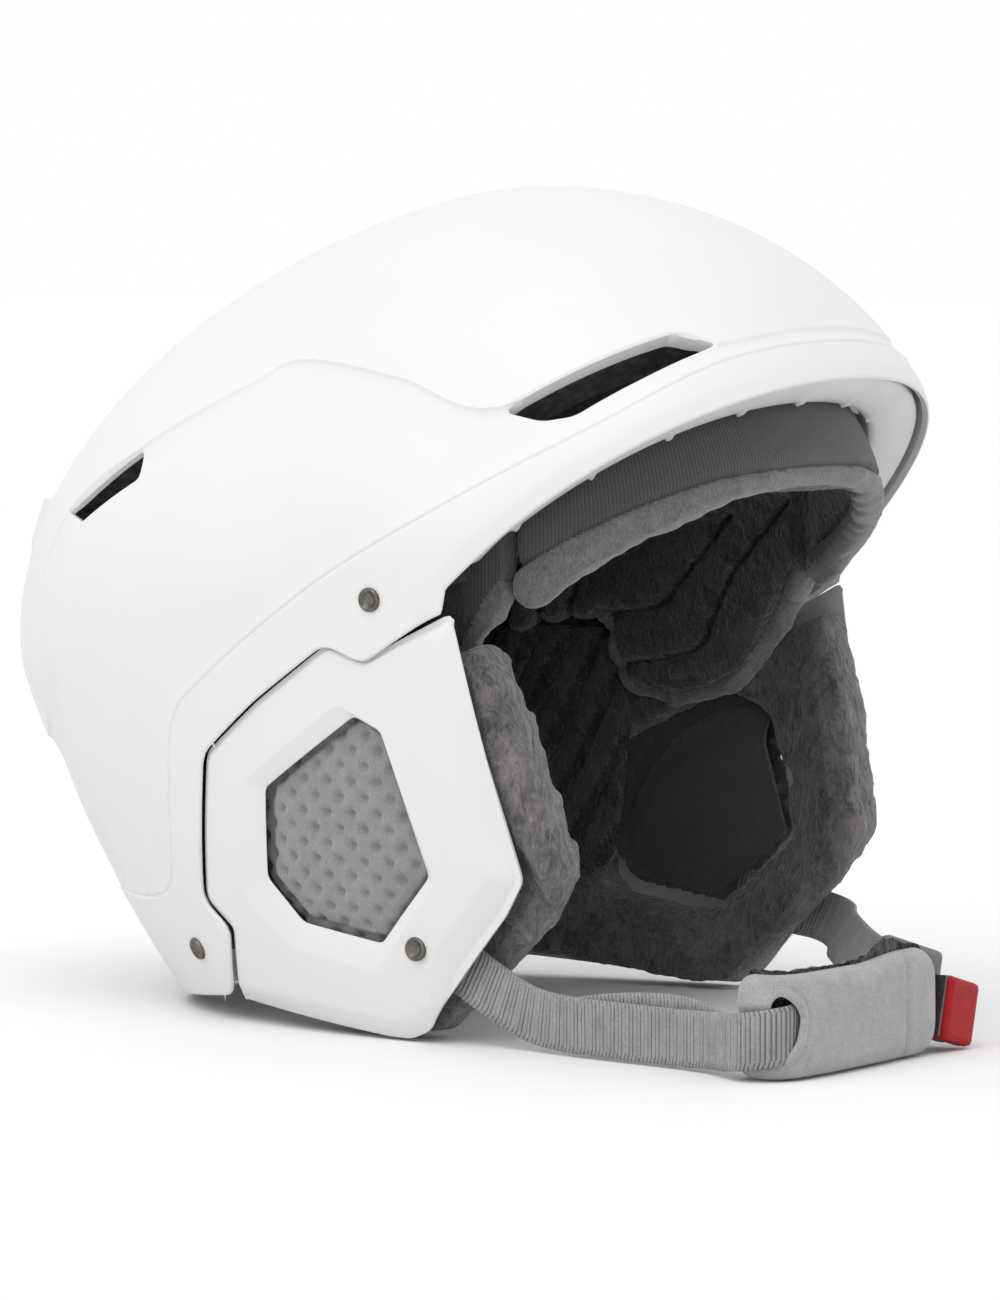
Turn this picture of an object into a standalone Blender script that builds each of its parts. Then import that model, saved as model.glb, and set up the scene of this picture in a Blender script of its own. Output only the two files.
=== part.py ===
"""Ski helmet: hard shell with foam core, ear covers, soft pads, rear fit dial and chin strap.

Frame: metres, +Z up, the front of the helmet looks along -Y and the wearer's right is -X.
The helmet stands as it is put down on a table: on its two ear covers and its nape, with the
buckled chin strap lying in front.  The shell is one smooth egg-like body; every layer inside
it (foam, pads, ear parts) is an inward offset of the same body.
"""
import math

import bmesh
import bpy
from mathutils import Matrix, Vector

# ---- driving dimensions of the shell body ------------------------------------------------
HALF_WIDTH = 0.1053
FRONT_LENGTH = 0.1224
REAR_LENGTH = 0.1730
CROWN_HEIGHT = 0.1060
SIDE_DEPTH = 0.3186
REAR_DEPTH = 0.2305
PLAN_POWER = 2.15
CROWN_POWER = 1.915
LOWER_POWER = 1.319
FRONT_FLARE = 0.046
FLARE_START = 0.0288
FLARE_RUN = 0.1248
PITCH = math.radians(13.07)
BODY_CENTRE = Vector((0.0, -0.0145, 0.1315))

GAP = 0.0004
SHELL_THICKNESS = 0.0022
FOAM_THICKNESS = 0.0170
PAD_THICKNESS = 0.0080
COVER_THICKNESS = 0.0028
MESH_THICKNESS = 0.0020
EAR_PAD_THICKNESS = 0.0144

# ---- side-view outlines, (y, z) ----------------------------------------------------------
BRIM_START_Y = -0.0433
BRIM_TEMPLE_Y = -0.0540
BRIM_FRONT_Y = -0.20
BRIM_CURVE = (0.1170, 0.9872, -1.7635)
BRIM_SAMPLES = 9
SHELL_EDGE = [(-0.0525, 0.1205), (-0.047, 0.118), (-0.027, 0.106), (-0.014, 0.111), (0.013, 0.094),
              (0.035, 0.078), (0.046, 0.035), (0.036, 0.027), (0.042, 0.007), (0.0977, 0.0004)]
EAR_COVER_OUTLINE = [(-0.0555, 0.1175), (-0.027, 0.1035), (-0.015, 0.108), (0.0110, 0.0915),
                     (0.0325, 0.076), (0.0438, 0.035), (0.0338, 0.0275), (0.0395, 0.0050),
                     (-0.021, 0.0002), (-0.029, 0.0002), (-0.036, 0.003), (-0.042, 0.011),
                     (-0.065, 0.037), (-0.071, 0.047), (-0.063, 0.080)]
EAR_WINDOW = [(-0.021, 0.091), (-0.030, 0.087), (-0.042, 0.047), (-0.023, 0.027),
              (0.006, 0.031), (0.018, 0.043), (0.014, 0.069)]
EAR_PAD_OUTLINE = [(-0.060, 0.113), (-0.027, 0.101), (-0.016, 0.105), (0.010, 0.089),
                   (0.031, 0.074), (0.041, 0.035), (0.033, 0.027), (0.036, 0.009),
                   (-0.022, 0.0012), (-0.036, 0.0030), (-0.047, 0.012),
                   (-0.071, 0.035), (-0.079, 0.049), (-0.071, 0.083)]
EAR_POCKET = [(-0.022, 0.088), (-0.040, 0.083), (-0.052, 0.046), (-0.025, 0.023),
              (0.007, 0.028), (0.019, 0.043), (0.015, 0.070)]

# ---- fasteners, strap and buckle -----------------------------------------------------------
RIVET_RADIUS = 0.0033
RIVET_SHANK_RADIUS = 0.0019
EAR_RIVET_SINK = 0.0013
RIVET_PLACES = {"temple": (-0.031, 0.124), "rear": (0.054, 0.020), "ear": (-0.036, 0.027)}
STRAP_PIVOT = (-0.036, 0.027)
WEBBING_WIDTH = 0.0155
WEBBING_THICKNESS = 0.0016

DOME_CUTS = 10
OBJECT_NAME = "ski_helmet"


def new_collection(name):
    """Make a collection under the scene."""
    collection = bpy.data.collections.new(name)
    bpy.context.scene.collection.children.link(collection)
    return collection


def clear_scene():
    """Remove every object the file starts with."""
    for obj in list(bpy.data.objects):
        bpy.data.objects.remove(obj, do_unlink=True)


clear_scene()
PARTS = new_collection(OBJECT_NAME)
CUTTERS = new_collection("cutters")
MATERIALS = {}


def material(name, colour, roughness, metallic=0.0):
    """One Principled material, shared by the pieces made of it."""
    if name not in MATERIALS:
        mat = bpy.data.materials.new(name)
        mat.use_nodes = True
        shader = mat.node_tree.nodes["Principled BSDF"]
        shader.inputs["Base Color"].default_value = (*colour, 1.0)
        shader.inputs["Roughness"].default_value = roughness
        shader.inputs["Metallic"].default_value = metallic
        MATERIALS[name] = mat
    return MATERIALS[name]


def white_shell():
    return material("white_shell", (0.86, 0.86, 0.86), 0.45)


def grey_foam():
    return material("grey_foam", (0.10, 0.10, 0.11), 0.9)


def pale_trim():
    return material("pale_trim", (0.70, 0.71, 0.72), 0.6)


def dark_plush():
    return material("dark_plush", (0.07, 0.065, 0.065), 0.95)


def grey_fabric():
    return material("grey_fabric", (0.22, 0.22, 0.23), 0.9)


def grey_webbing():
    return material("grey_webbing", (0.26, 0.26, 0.26), 0.8)


def dark_plastic():
    return material("dark_plastic", (0.06, 0.06, 0.065), 0.5)


def dark_nickel():
    return material("dark_nickel", (0.35, 0.34, 0.33), 0.35, 1.0)


def red_plastic():
    return material("red_plastic", (0.45, 0.01, 0.015), 0.4)


# ---- building helpers ------------------------------------------------------------------------
def smoothstep(t):
    t = min(max(t, 0.0), 1.0)
    return t * t * (3.0 - 2.0 * t)


def body_point(direction):
    """Point of the shell's outer surface, seen from the body's centre in a given direction."""
    x, y, z = direction.normalized()
    length = FRONT_LENGTH if y < 0.0 else REAR_LENGTH
    plan = ((abs(x) / HALF_WIDTH) ** PLAN_POWER + (abs(y) / length) ** PLAN_POWER)
    plan = plan ** (1.0 / PLAN_POWER)
    power = CROWN_POWER
    height = CROWN_HEIGHT
    if z <= 0.0:
        power = LOWER_POWER
        height = SIDE_DEPTH
        flat = x * x + y * y
        if y > 0.0 and flat > 1e-9:
            height = 1.0 / math.sqrt(x * x / flat / SIDE_DEPTH ** 2 + y * y / flat / REAR_DEPTH ** 2)
    rise = abs(z) / height
    radius = (plan ** CROWN_POWER + rise ** CROWN_POWER) ** (-1.0 / CROWN_POWER)
    for _ in range(12):
        value = (plan * radius) ** CROWN_POWER + (rise * radius) ** power - 1.0
        slope = (CROWN_POWER * plan ** CROWN_POWER * radius ** (CROWN_POWER - 1.0)
                 + power * rise ** power * radius ** (power - 1.0))
        radius -= value / slope
    px, py, pz = x * radius, y * radius, z * radius
    px *= 1.0 + FRONT_FLARE * smoothstep((FLARE_START - py) / FLARE_RUN)
    turned = Vector((px, py * math.cos(PITCH) + pz * math.sin(PITCH),
                     pz * math.cos(PITCH) - py * math.sin(PITCH)))
    return BODY_CENTRE + turned


def body_direction(point):
    """Direction that body_point takes to reach a given point of the surface."""
    x, y, z = point - BODY_CENTRE
    py = y * math.cos(PITCH) - z * math.sin(PITCH)
    pz = y * math.sin(PITCH) + z * math.cos(PITCH)
    return Vector((x / (1.0 + FRONT_FLARE * smoothstep((FLARE_START - py) / FLARE_RUN)), py, pz))


def side_point(y, z, side):
    """Point of the outer surface at a given side-view place."""
    point = Vector((side * HALF_WIDTH, y, z))
    for _ in range(80):
        reached = body_point(body_direction(point))
        point.x *= (reached - BODY_CENTRE).length / (point - BODY_CENTRE).length
    return point


def place(name, mesh, mat, collection=PARTS):
    """Wrap a mesh in an object of its own."""
    obj = bpy.data.objects.new(name, mesh)
    collection.objects.link(obj)
    if mat is not None:
        mesh.materials.append(mat)
    return obj


def hide(obj):
    """Mark an object as a cutter."""
    obj.hide_render = True
    obj.display_type = "WIRE"
    return obj


def boolean(obj, cutter, operation="DIFFERENCE"):
    """Cut, join or intersect with another object."""
    modifier = obj.modifiers.new(operation.title(), "BOOLEAN")
    modifier.operation = operation
    modifier.solver = "EXACT"
    modifier.object = cutter
    return obj


def dome_mesh(name, depth):
    """Closed body surface, moved inward by a depth along its normals."""
    bm = bmesh.new()
    bmesh.ops.create_cube(bm, size=2.0)
    bmesh.ops.subdivide_edges(bm, edges=bm.edges[:], cuts=DOME_CUTS, use_grid_fill=True)
    for vert in bm.verts:
        warped = Vector(math.tan(c * math.pi / 4.0) for c in vert.co)
        vert.co = body_point(warped)
    bm.normal_update()
    moved = [vert.co - vert.normal * depth for vert in bm.verts]
    for vert, co in zip(bm.verts, moved):
        vert.co = co
    mesh = bpy.data.meshes.new(name)
    bm.to_mesh(mesh)
    bm.free()
    return mesh


def layer(name, mat, depth, thickness):
    """A wall between two depths below the outer surface."""
    obj = place(name, dome_mesh(name, depth), mat)
    solidify = obj.modifiers.new("Solidify", "SOLIDIFY")
    solidify.thickness = thickness
    solidify.offset = -1.0
    return obj


def curve_to_mesh(curve_obj, name, collection):
    """Replace a curve object by a welded mesh object."""
    evaluated = curve_obj.evaluated_get(bpy.context.evaluated_depsgraph_get())
    mesh = bpy.data.meshes.new_from_object(evaluated)
    bm = bmesh.new()
    bm.from_mesh(mesh)
    bmesh.ops.remove_doubles(bm, verts=bm.verts[:], dist=0.00001)
    bm.to_mesh(mesh)
    bm.free()
    mesh.name = name
    obj = place(name, mesh, None, collection)
    obj.matrix_world = curve_obj.matrix_world.copy()
    bpy.data.objects.remove(curve_obj, do_unlink=True)
    obj.name = name
    return obj


def prism(name, outline, half_thickness, matrix, collection=CUTTERS):
    """Flat outline extruded both ways, stood in space by a matrix."""
    curve = bpy.data.curves.new(name, "CURVE")
    curve.dimensions = "2D"
    curve.fill_mode = "BOTH"
    curve.extrude = half_thickness
    spline = curve.splines.new("POLY")
    spline.points.add(len(outline) - 1)
    for point, (u, v) in zip(spline.points, outline):
        point.co = (u, v, 0.0, 1.0)
    spline.use_cyclic_u = True
    curve_obj = bpy.data.objects.new(name, curve)
    collection.objects.link(curve_obj)
    curve_obj.matrix_world = matrix
    bpy.context.view_layer.update()
    obj = curve_to_mesh(curve_obj, name, collection)
    return hide(obj) if collection is CUTTERS else obj


def side_matrix(x_centre):
    """Stands an outline drawn as (y, z) across the X axis."""
    return Matrix(((0.0, 0.0, 1.0, x_centre), (1.0, 0.0, 0.0, 0.0),
                   (0.0, 1.0, 0.0, 0.0), (0.0, 0.0, 0.0, 1.0)))


def side_prism(name, outline, x_low, x_high):
    """Side-view outline as a cutter between two X planes."""
    return prism(name, outline, 0.5 * (x_high - x_low), side_matrix(0.5 * (x_low + x_high)))


def box(name, low, high, mat=None, collection=CUTTERS, bevel=0.0):
    """Box between two corners."""
    mesh = bpy.data.meshes.new(name)
    bm = bmesh.new()
    bmesh.ops.create_cube(bm, size=1.0)
    size = [b - a for a, b in zip(low, high)]
    centre = [0.5 * (a + b) for a, b in zip(low, high)]
    bmesh.ops.scale(bm, vec=size, verts=bm.verts[:])
    if bevel:
        bmesh.ops.bevel(bm, geom=bm.edges[:], offset=bevel, segments=1, affect="EDGES")
    bm.to_mesh(mesh)
    bm.free()
    obj = place(name, mesh, mat, collection)
    obj.location = centre
    return hide(obj) if collection is CUTTERS else obj


def peg(name, centre, axis, radius, length, mat=None, collection=CUTTERS, sides=16):
    """Round peg centred on a point along an axis."""
    mesh = bpy.data.meshes.new(name)
    bm = bmesh.new()
    bmesh.ops.create_cone(bm, cap_ends=True, segments=sides, radius1=radius, radius2=radius,
                          depth=length)
    bm.to_mesh(mesh)
    bm.free()
    obj = place(name, mesh, mat, collection)
    obj.rotation_mode = "QUATERNION"
    obj.rotation_quaternion = Vector(axis).to_track_quat("Z", "Y")
    obj.location = centre
    return hide(obj) if collection is CUTTERS else obj


def brim_line(lift, back_y=BRIM_TEMPLE_Y):
    """Points of the brim's curved lower edge in the side view, from the front to its temple."""
    points = []
    for k in range(BRIM_SAMPLES):
        y = BRIM_FRONT_Y + (back_y - BRIM_FRONT_Y) * k / (BRIM_SAMPLES - 1)
        t = BRIM_START_Y - y
        points.append((y, BRIM_CURVE[0] + BRIM_CURVE[1] * t + BRIM_CURVE[2] * t * t + lift))
    return points


def below(edge, lift):
    """Everything below a lower edge: the brim's curve, then the edge's own points."""
    return brim_line(lift) + list(edge) + [(0.2, edge[-1][1]), (0.2, -0.3), (BRIM_FRONT_Y, -0.3)]


def brim_band(lift_low, lift_high, back_y):
    """Side-view strip that runs parallel with the brim, between two heights above it."""
    return brim_line(lift_low, back_y) + brim_line(lift_high, back_y)[::-1]


def scaled(outline, factor):
    """Outline grown or shrunk about its middle."""
    middle = [sum(p[i] for p in outline) / len(outline) for i in (0, 1)]
    return [tuple(m + factor * (c - m) for c, m in zip(p, middle)) for p in outline]


def turned(name, profile, centre, axis, mat, steps=16):
    """Body of revolution; the profile is (radius, height), from the top down its outer side."""
    mesh = bpy.data.meshes.new(name)
    bm = bmesh.new()
    verts = [bm.verts.new((r, 0.0, h)) for r, h in profile]
    for a, b in zip(verts, verts[1:]):
        bm.edges.new((a, b))
    bm.to_mesh(mesh)
    bm.free()
    obj = place(name, mesh, mat)
    screw = obj.modifiers.new("Screw", "SCREW")
    screw.steps = steps
    screw.render_steps = steps
    screw.use_merge_vertices = True
    screw.merge_threshold = 0.00001
    obj.rotation_mode = "QUATERNION"
    obj.rotation_quaternion = Vector(axis).to_track_quat("Z", "Y")
    obj.location = centre
    return obj


def smooth_route(stations, steps):
    """Catmull-Rom samples of a list of stations, each a tuple of the same length."""
    ends = [[2 * a - b for a, b in zip(*pair)] for pair in (stations[:2], stations[:-3:-1])]
    points = [ends[0]] + list(stations) + [ends[1]]
    samples = []
    for four in zip(points, points[1:], points[2:], points[3:]):
        for k in range(steps):
            t = k / steps
            samples.append([0.5 * (2 * b + (c - a) * t + (2 * a - 5 * b + 4 * c - d) * t * t
                                   + (3 * b - a - 3 * c + d) * t ** 3) for a, b, c, d in zip(*four)])
    samples.append(list(points[-2]))
    return samples


def ribbon(name, stations, width, thickness, mat, collection=PARTS, steps=3):
    """Flat strap along (x, y, z, lean, heading) stations in mm and degrees.

    Its width stands up, leaning by the lean towards the heading, which is counted from -Y.
    """
    samples = smooth_route(stations, steps)
    mesh = bpy.data.meshes.new(name)
    bm = bmesh.new()
    bmesh.ops.create_grid(bm, x_segments=len(samples) - 1, y_segments=2, size=0.5)
    for vert in bm.verts:
        x, y, z, lean, heading = samples[round((vert.co.x + 0.5) * (len(samples) - 1))]
        lean, heading = math.radians(lean), math.radians(heading)
        across = Vector((math.sin(lean) * math.sin(heading), -math.sin(lean) * math.cos(heading),
                         math.cos(lean)))
        vert.co = Vector((x, y, z)) * 0.001 + across * (vert.co.y * width)
    bm.to_mesh(mesh)
    bm.free()
    obj = place(name, mesh, mat, collection)
    solidify = obj.modifiers.new("Solidify", "SOLIDIFY")
    solidify.thickness = thickness
    solidify.offset = 0.0
    solidify.use_even_offset = True
    return hide(obj) if collection is CUTTERS else obj


def surface_frame(point):
    """Point and outward normal of the body below or above a given point."""
    ray = body_direction(point).normalized()
    side_step = ray.orthogonal().normalized() * 0.01
    other_step = ray.cross(side_step)
    across = body_point(ray + side_step) - body_point(ray - side_step)
    along = body_point(ray + other_step) - body_point(ray - other_step)
    normal = across.cross(along).normalized()
    foot = body_point(ray)
    return foot, normal if normal.dot(foot - BODY_CENTRE) > 0.0 else -normal


def vent_cutter(name, start, end, width):
    """Slanted slot through shell and foam between two places on the surface."""
    start, end = Vector(start), Vector(end)
    point, normal = surface_frame(0.5 * (start + end))
    along = (end - start)
    length = along.length
    along = (along - normal * along.dot(normal)).normalized()
    across = normal.cross(along)
    h, w, chamfer = 0.5 * length, 0.5 * width, 0.6 * width
    outline = [(-h, -w), (h - chamfer, -w), (h, w), (chamfer - h, w)]
    if across.z < 0.0:
        outline = [(u, -v) for u, v in reversed(outline)]
    centre = point - normal * 0.012
    matrix = Matrix.Translation(centre) @ Matrix((along, across, normal)).transposed().to_4x4()
    return prism(name, outline, 0.024, matrix)


# ---- shell, foam and trim --------------------------------------------------------------------
SIDES = {"right": -1.0, "left": 1.0}
FOAM_DEPTH = SHELL_THICKNESS + 2.5 * GAP
PAD_DEPTH = FOAM_DEPTH + FOAM_THICKNESS + GAP
FOAM_EDGE = [(-0.0525, 0.129), (-0.048, 0.127), (-0.027, 0.115), (-0.013, 0.120), (0.016, 0.103),
             (0.041, 0.083), (0.052, 0.037), (0.046, 0.029), (0.053, 0.014), (0.100, 0.007)]
BRIM_INSERT_LIFT = (0.0025, 0.0136)
FRONT_VENT = ((0.089, -0.072, 0.1750), (0.053, -0.100, 0.1935))
REAR_VENT = ((0.085, 0.066, 0.1595), (0.0768, 0.098, 0.1432))
VENT_WIDTHS = (0.0065, 0.0075)
SIDE_PAD_OUTLINE = [(-0.058, 0.124), (-0.047, 0.105), (-0.033, 0.089), (-0.014, 0.083),
                    (0.002, 0.085), (0.009, 0.092), (0.0135, 0.107), (0.050, 0.105),
                    (0.053, 0.152), (-0.044, 0.170), (-0.058, 0.160)]
DIAL_BAY = ((-0.056, 0.050, -0.02), (0.056, 0.18, 0.066))


def vent_cutters():
    """Four vents: a front and a rear one each side."""
    cutters = []
    for side_name, side in SIDES.items():
        for vent_name, ends, width in zip(("front", "rear"), (FRONT_VENT, REAR_VENT), VENT_WIDTHS):
            start, end = [(side * x, y, z) for x, y, z in ends]
            cutters.append(vent_cutter(f"cut_vent_{vent_name}_{side_name}", start, end, width))
    return cutters


def rivet_seat(place_name, side):
    """Centre and outward axis of a rivet on the outer surface."""
    y, z = RIVET_PLACES[place_name]
    point = side_point(y, z, side)
    if place_name == "ear":
        axis = Vector((side, 0.0, 0.0))
        return point - axis * EAR_RIVET_SINK, axis
    return surface_frame(point)


def build_shell_and_foam():
    vents = vent_cutters()
    shell = layer("outer_shell", white_shell(), 0.0, SHELL_THICKNESS)
    boolean(shell, side_prism("cut_shell_edge", below(SHELL_EDGE, 0.0), -0.2, 0.2))
    foam = layer("impact_liner", grey_foam(), FOAM_DEPTH, FOAM_THICKNESS)
    foam_edge = below(FOAM_EDGE, BRIM_INSERT_LIFT[1] + 0.0005)
    boolean(foam, side_prism("cut_foam_edge", foam_edge, -0.2, 0.2))
    boolean(foam, box("cut_dial_bay", *DIAL_BAY))
    for vent in vents:
        boolean(shell, vent)
        boolean(foam, vent)
    for side_name, side in SIDES.items():
        for place_name in ("temple", "rear"):
            point, normal = rivet_seat(place_name, side)
            hole = peg(f"cut_rivet_{place_name}_{side_name}", point, normal,
                       RIVET_SHANK_RADIUS + 0.0004, 0.026)
            boolean(shell, hole)
            boolean(foam, hole)
    insert = layer("brim_insert", pale_trim(), FOAM_DEPTH, FOAM_THICKNESS - 0.001)
    boolean(insert, side_prism("keep_brim_insert", brim_band(*BRIM_INSERT_LIFT, -0.056), -0.2, 0.2),
            "INTERSECT")


def build_pads():
    """Comfort pads inside the foam, each a simple closed piece of one layer."""
    forehead = layer("forehead_pad", grey_fabric(), PAD_DEPTH, PAD_THICKNESS)
    boolean(forehead, side_prism("keep_forehead", brim_band(-0.018, 0.016, -0.061), -0.2, 0.2),
            "INTERSECT")
    crown = layer("crown_pad", dark_plush(), PAD_DEPTH, PAD_THICKNESS)
    boolean(crown, box("keep_crown", (-0.034, -0.060, 0.15), (0.034, 0.075, 0.26)), "INTERSECT")
    rear = layer("rear_pad", dark_plush(), PAD_DEPTH, PAD_THICKNESS)
    boolean(rear, box("keep_rear", (-0.060, 0.055, 0.070), (0.060, 0.18, 0.150)), "INTERSECT")
    for side_name, side in SIDES.items():
        pad = layer(f"side_pad_{side_name}", dark_plush(), PAD_DEPTH, PAD_THICKNESS)
        low, high = sorted((side * 0.036, side * 0.12))
        keep = side_prism(f"keep_side_pad_{side_name}", SIDE_PAD_OUTLINE, low, high)
        boolean(pad, keep, "INTERSECT")


# ---- ear covers ------------------------------------------------------------------------------
COVER_DEPTH = 0.0
MESH_DEPTH = COVER_THICKNESS + GAP
EAR_PAD_DEPTH = MESH_DEPTH + MESH_THICKNESS + GAP
STRAP_PLANE = 0.0820
STRAP_BAY_INNER = 0.0790
STRAP_BAY_RADIUS = 0.042


def build_ear(side_name, side):
    """Cover plate with its window, dimpled fabric, plush ring and inner pocket."""
    low, high = sorted((side * 0.03, side * 0.15))
    cover = layer(f"ear_cover_{side_name}", white_shell(), COVER_DEPTH, COVER_THICKNESS)
    keep = side_prism(f"keep_cover_{side_name}", EAR_COVER_OUTLINE, low, high)
    boolean(cover, keep, "INTERSECT")
    boolean(cover, side_prism(f"cut_window_{side_name}", EAR_WINDOW, low, high))
    point, axis = rivet_seat("ear", side)
    hole = peg(f"cut_rivet_ear_{side_name}", point, axis, RIVET_SHANK_RADIUS + 0.0004, 0.03)
    boolean(cover, hole)
    boolean(cover, peg(f"cut_rivet_seat_{side_name}", point + axis * 0.005, axis,
                       RIVET_RADIUS + 0.0005, 0.010))
    fabric = layer(f"ear_mesh_{side_name}", grey_fabric(), MESH_DEPTH, MESH_THICKNESS)
    boolean(fabric, side_prism(f"keep_mesh_{side_name}", scaled(EAR_WINDOW, 1.14), low, high),
            "INTERSECT")
    ring = layer(f"ear_pad_{side_name}", dark_plush(), EAR_PAD_DEPTH, EAR_PAD_THICKNESS)
    boolean(ring, side_prism(f"keep_ring_{side_name}", EAR_PAD_OUTLINE, low, high), "INTERSECT")
    boolean(ring, side_prism(f"cut_pocket_{side_name}", EAR_POCKET, low, high))
    bay_low, bay_high = sorted((side * STRAP_BAY_INNER, side * 0.15))
    bay = peg(f"cut_strap_bay_{side_name}", (0.5 * (bay_low + bay_high), *STRAP_PIVOT), (1, 0, 0),
              STRAP_BAY_RADIUS, bay_high - bay_low, sides=32)
    boolean(ring, bay)
    pocket = layer(f"ear_pocket_{side_name}", dark_plush(), EAR_PAD_DEPTH + 0.007, 0.0015)
    boolean(pocket, side_prism(f"keep_pocket_{side_name}", scaled(EAR_POCKET, 0.97), low, high),
            "INTERSECT")
    boolean(pocket, bay)


def build_rivets(side_name, side):
    """Hollow rivets: two through the shell and one that carries the strap."""
    head, shank, bore = RIVET_RADIUS, RIVET_SHANK_RADIUS, 0.0013
    top = [(0.0, 0.0004), (bore, 0.0004), (bore, 0.0013), (0.8 * head, 0.0013), (head, 0.0009),
           (head, 0.0004), (shank, 0.0004)]
    for place_name in ("temple", "rear"):
        point, normal = rivet_seat(place_name, side)
        turned(f"rivet_{place_name}_{side_name}", top + [(shank, -0.007), (0.0, -0.007)],
               point, normal, dark_nickel())
    point, axis = rivet_seat("ear", side)
    reach = abs(point.x) - STRAP_PLANE + 0.5 * WEBBING_THICKNESS + GAP
    tail = [(shank, -reach), (head, -reach), (head, -reach - 0.0009), (0.0, -reach - 0.0009)]
    turned(f"rivet_ear_{side_name}", top + tail, point, axis, dark_nickel())


# ---- goggle clip on the rear -----------------------------------------------------------------
CLIP_PIVOT = (0.1604, 0.1080)
CLIP_HALF_WIDTH = 0.012
CLIP_OUTLINE = [(0.1588, 0.1055), (0.1620, 0.1055), (0.1652, 0.118), (0.1652, 0.132),
                (0.1602, 0.1446), (0.1575, 0.1434), (0.1619, 0.1310), (0.1619, 0.1190)]
CLIP_BASE = ((-0.015, 0.1558, 0.0985), (0.015, 0.1640, 0.1125))
CLIP_NOTCH = ((-0.0124, 0.12, 0.1022), (0.0124, 0.19, 0.12))


def build_goggle_clip():
    base = box("goggle_clip_base", *CLIP_BASE, dark_plastic(), PARTS)
    boolean(base, box("cut_clip_notch", *CLIP_NOTCH))
    hole = peg("cut_clip_pin", (0.0, *CLIP_PIVOT), (1, 0, 0), 0.0013, 0.04)
    boolean(base, hole)
    arm = prism("goggle_clip", CLIP_OUTLINE, CLIP_HALF_WIDTH, side_matrix(0.0), PARTS)
    arm.data.materials.append(dark_plastic())
    boolean(arm, hole)
    peg("goggle_clip_pin", (0.0, *CLIP_PIVOT), (1, 0, 0), 0.0009, 0.0290, dark_nickel(), PARTS)


# ---- rear fit system -------------------------------------------------------------------------
DIAL_CENTRE = Vector((0.0, 0.1117, 0.0360))
DIAL_TILT = math.radians(36.0)
DIAL_RADIUS = 0.0170
DIAL_THICKNESS = 0.0085
PINION_RADIUS = 0.0038


def dial_matrix():
    """Frame of the dial: X across the head, Y up along the nape, Z out through the dial."""
    out = Vector((0.0, math.cos(DIAL_TILT), -math.sin(DIAL_TILT)))
    across = Vector((-1.0, 0.0, 0.0))
    up = out.cross(across)
    return Matrix.Translation(DIAL_CENTRE) @ Matrix((across, up, out)).transposed().to_4x4()


def dial_box(name, low, high, mat=None, collection=CUTTERS):
    """Box given in the dial's own frame."""
    obj = box(name, low, high, mat, collection)
    obj.matrix_world = dial_matrix() @ Matrix.Translation(obj.location)
    return obj


def build_fit_system():
    """Dial, pinion, rack housing and the two bands that it draws together."""
    frame = dial_matrix()
    out = frame.to_3x3() @ Vector((0, 0, 1))
    half = 0.5 * DIAL_THICKNESS
    profile = [(0.0, half), (0.75 * DIAL_RADIUS, half), (DIAL_RADIUS, 0.4 * half),
               (DIAL_RADIUS, -half), (0.0, -half)]
    turned("fit_dial", profile, DIAL_CENTRE, out, dark_plastic(), 24)
    housing = dial_box("fit_housing", (-0.024, -0.0115, -0.0105), (0.024, 0.0115, -0.0050),
                       dark_plastic(), PARTS)
    boolean(housing, dial_box("cut_rack_channel", (-0.03, -0.0086, -0.0096), (0.03, 0.0086, -0.0062)))
    axle = peg("cut_axle", DIAL_CENTRE, out, 0.0025, 0.013)
    boolean(housing, axle)
    pinion = [(0.0, -0.0046), (0.0020, -0.0046), (0.0020, -0.0066), (PINION_RADIUS, -0.0066),
              (PINION_RADIUS, -0.0091), (0.0, -0.0091)]
    turned("fit_pinion", pinion, DIAL_CENTRE, out, dark_plastic())
    for side_name, side in SIDES.items():
        level = side * 0.0061
        route = [(-0.012, level, -0.00785), (0.010, level, -0.00785), (0.030, level, -0.00785),
                 (0.042, 0.5 * level, -0.0125), (0.049, 0.001, -0.0235)]
        build_band(f"fit_band_{side_name}", [frame @ Vector((-side * x, y, z)) for x, y, z in route], frame)


def build_band(name, route, frame):
    """Flexible band with its rack end, a flat strip that follows the back of the head."""
    up = frame.to_3x3() @ Vector((0, 1, 0))
    samples = smooth_route([tuple(p) for p in route], 3)
    mesh = bpy.data.meshes.new(name)
    bm = bmesh.new()
    bmesh.ops.create_grid(bm, x_segments=len(samples) - 1, y_segments=1, size=0.5)
    for vert in bm.verts:
        k = round((vert.co.x + 0.5) * (len(samples) - 1))
        vert.co = Vector(samples[k]) + up * (vert.co.y * 0.0042)
    bm.to_mesh(mesh)
    bm.free()
    obj = place(name, mesh, dark_plastic())
    solidify = obj.modifiers.new("Solidify", "SOLIDIFY")
    solidify.thickness = 0.0022
    solidify.offset = 0.0
    return obj


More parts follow.
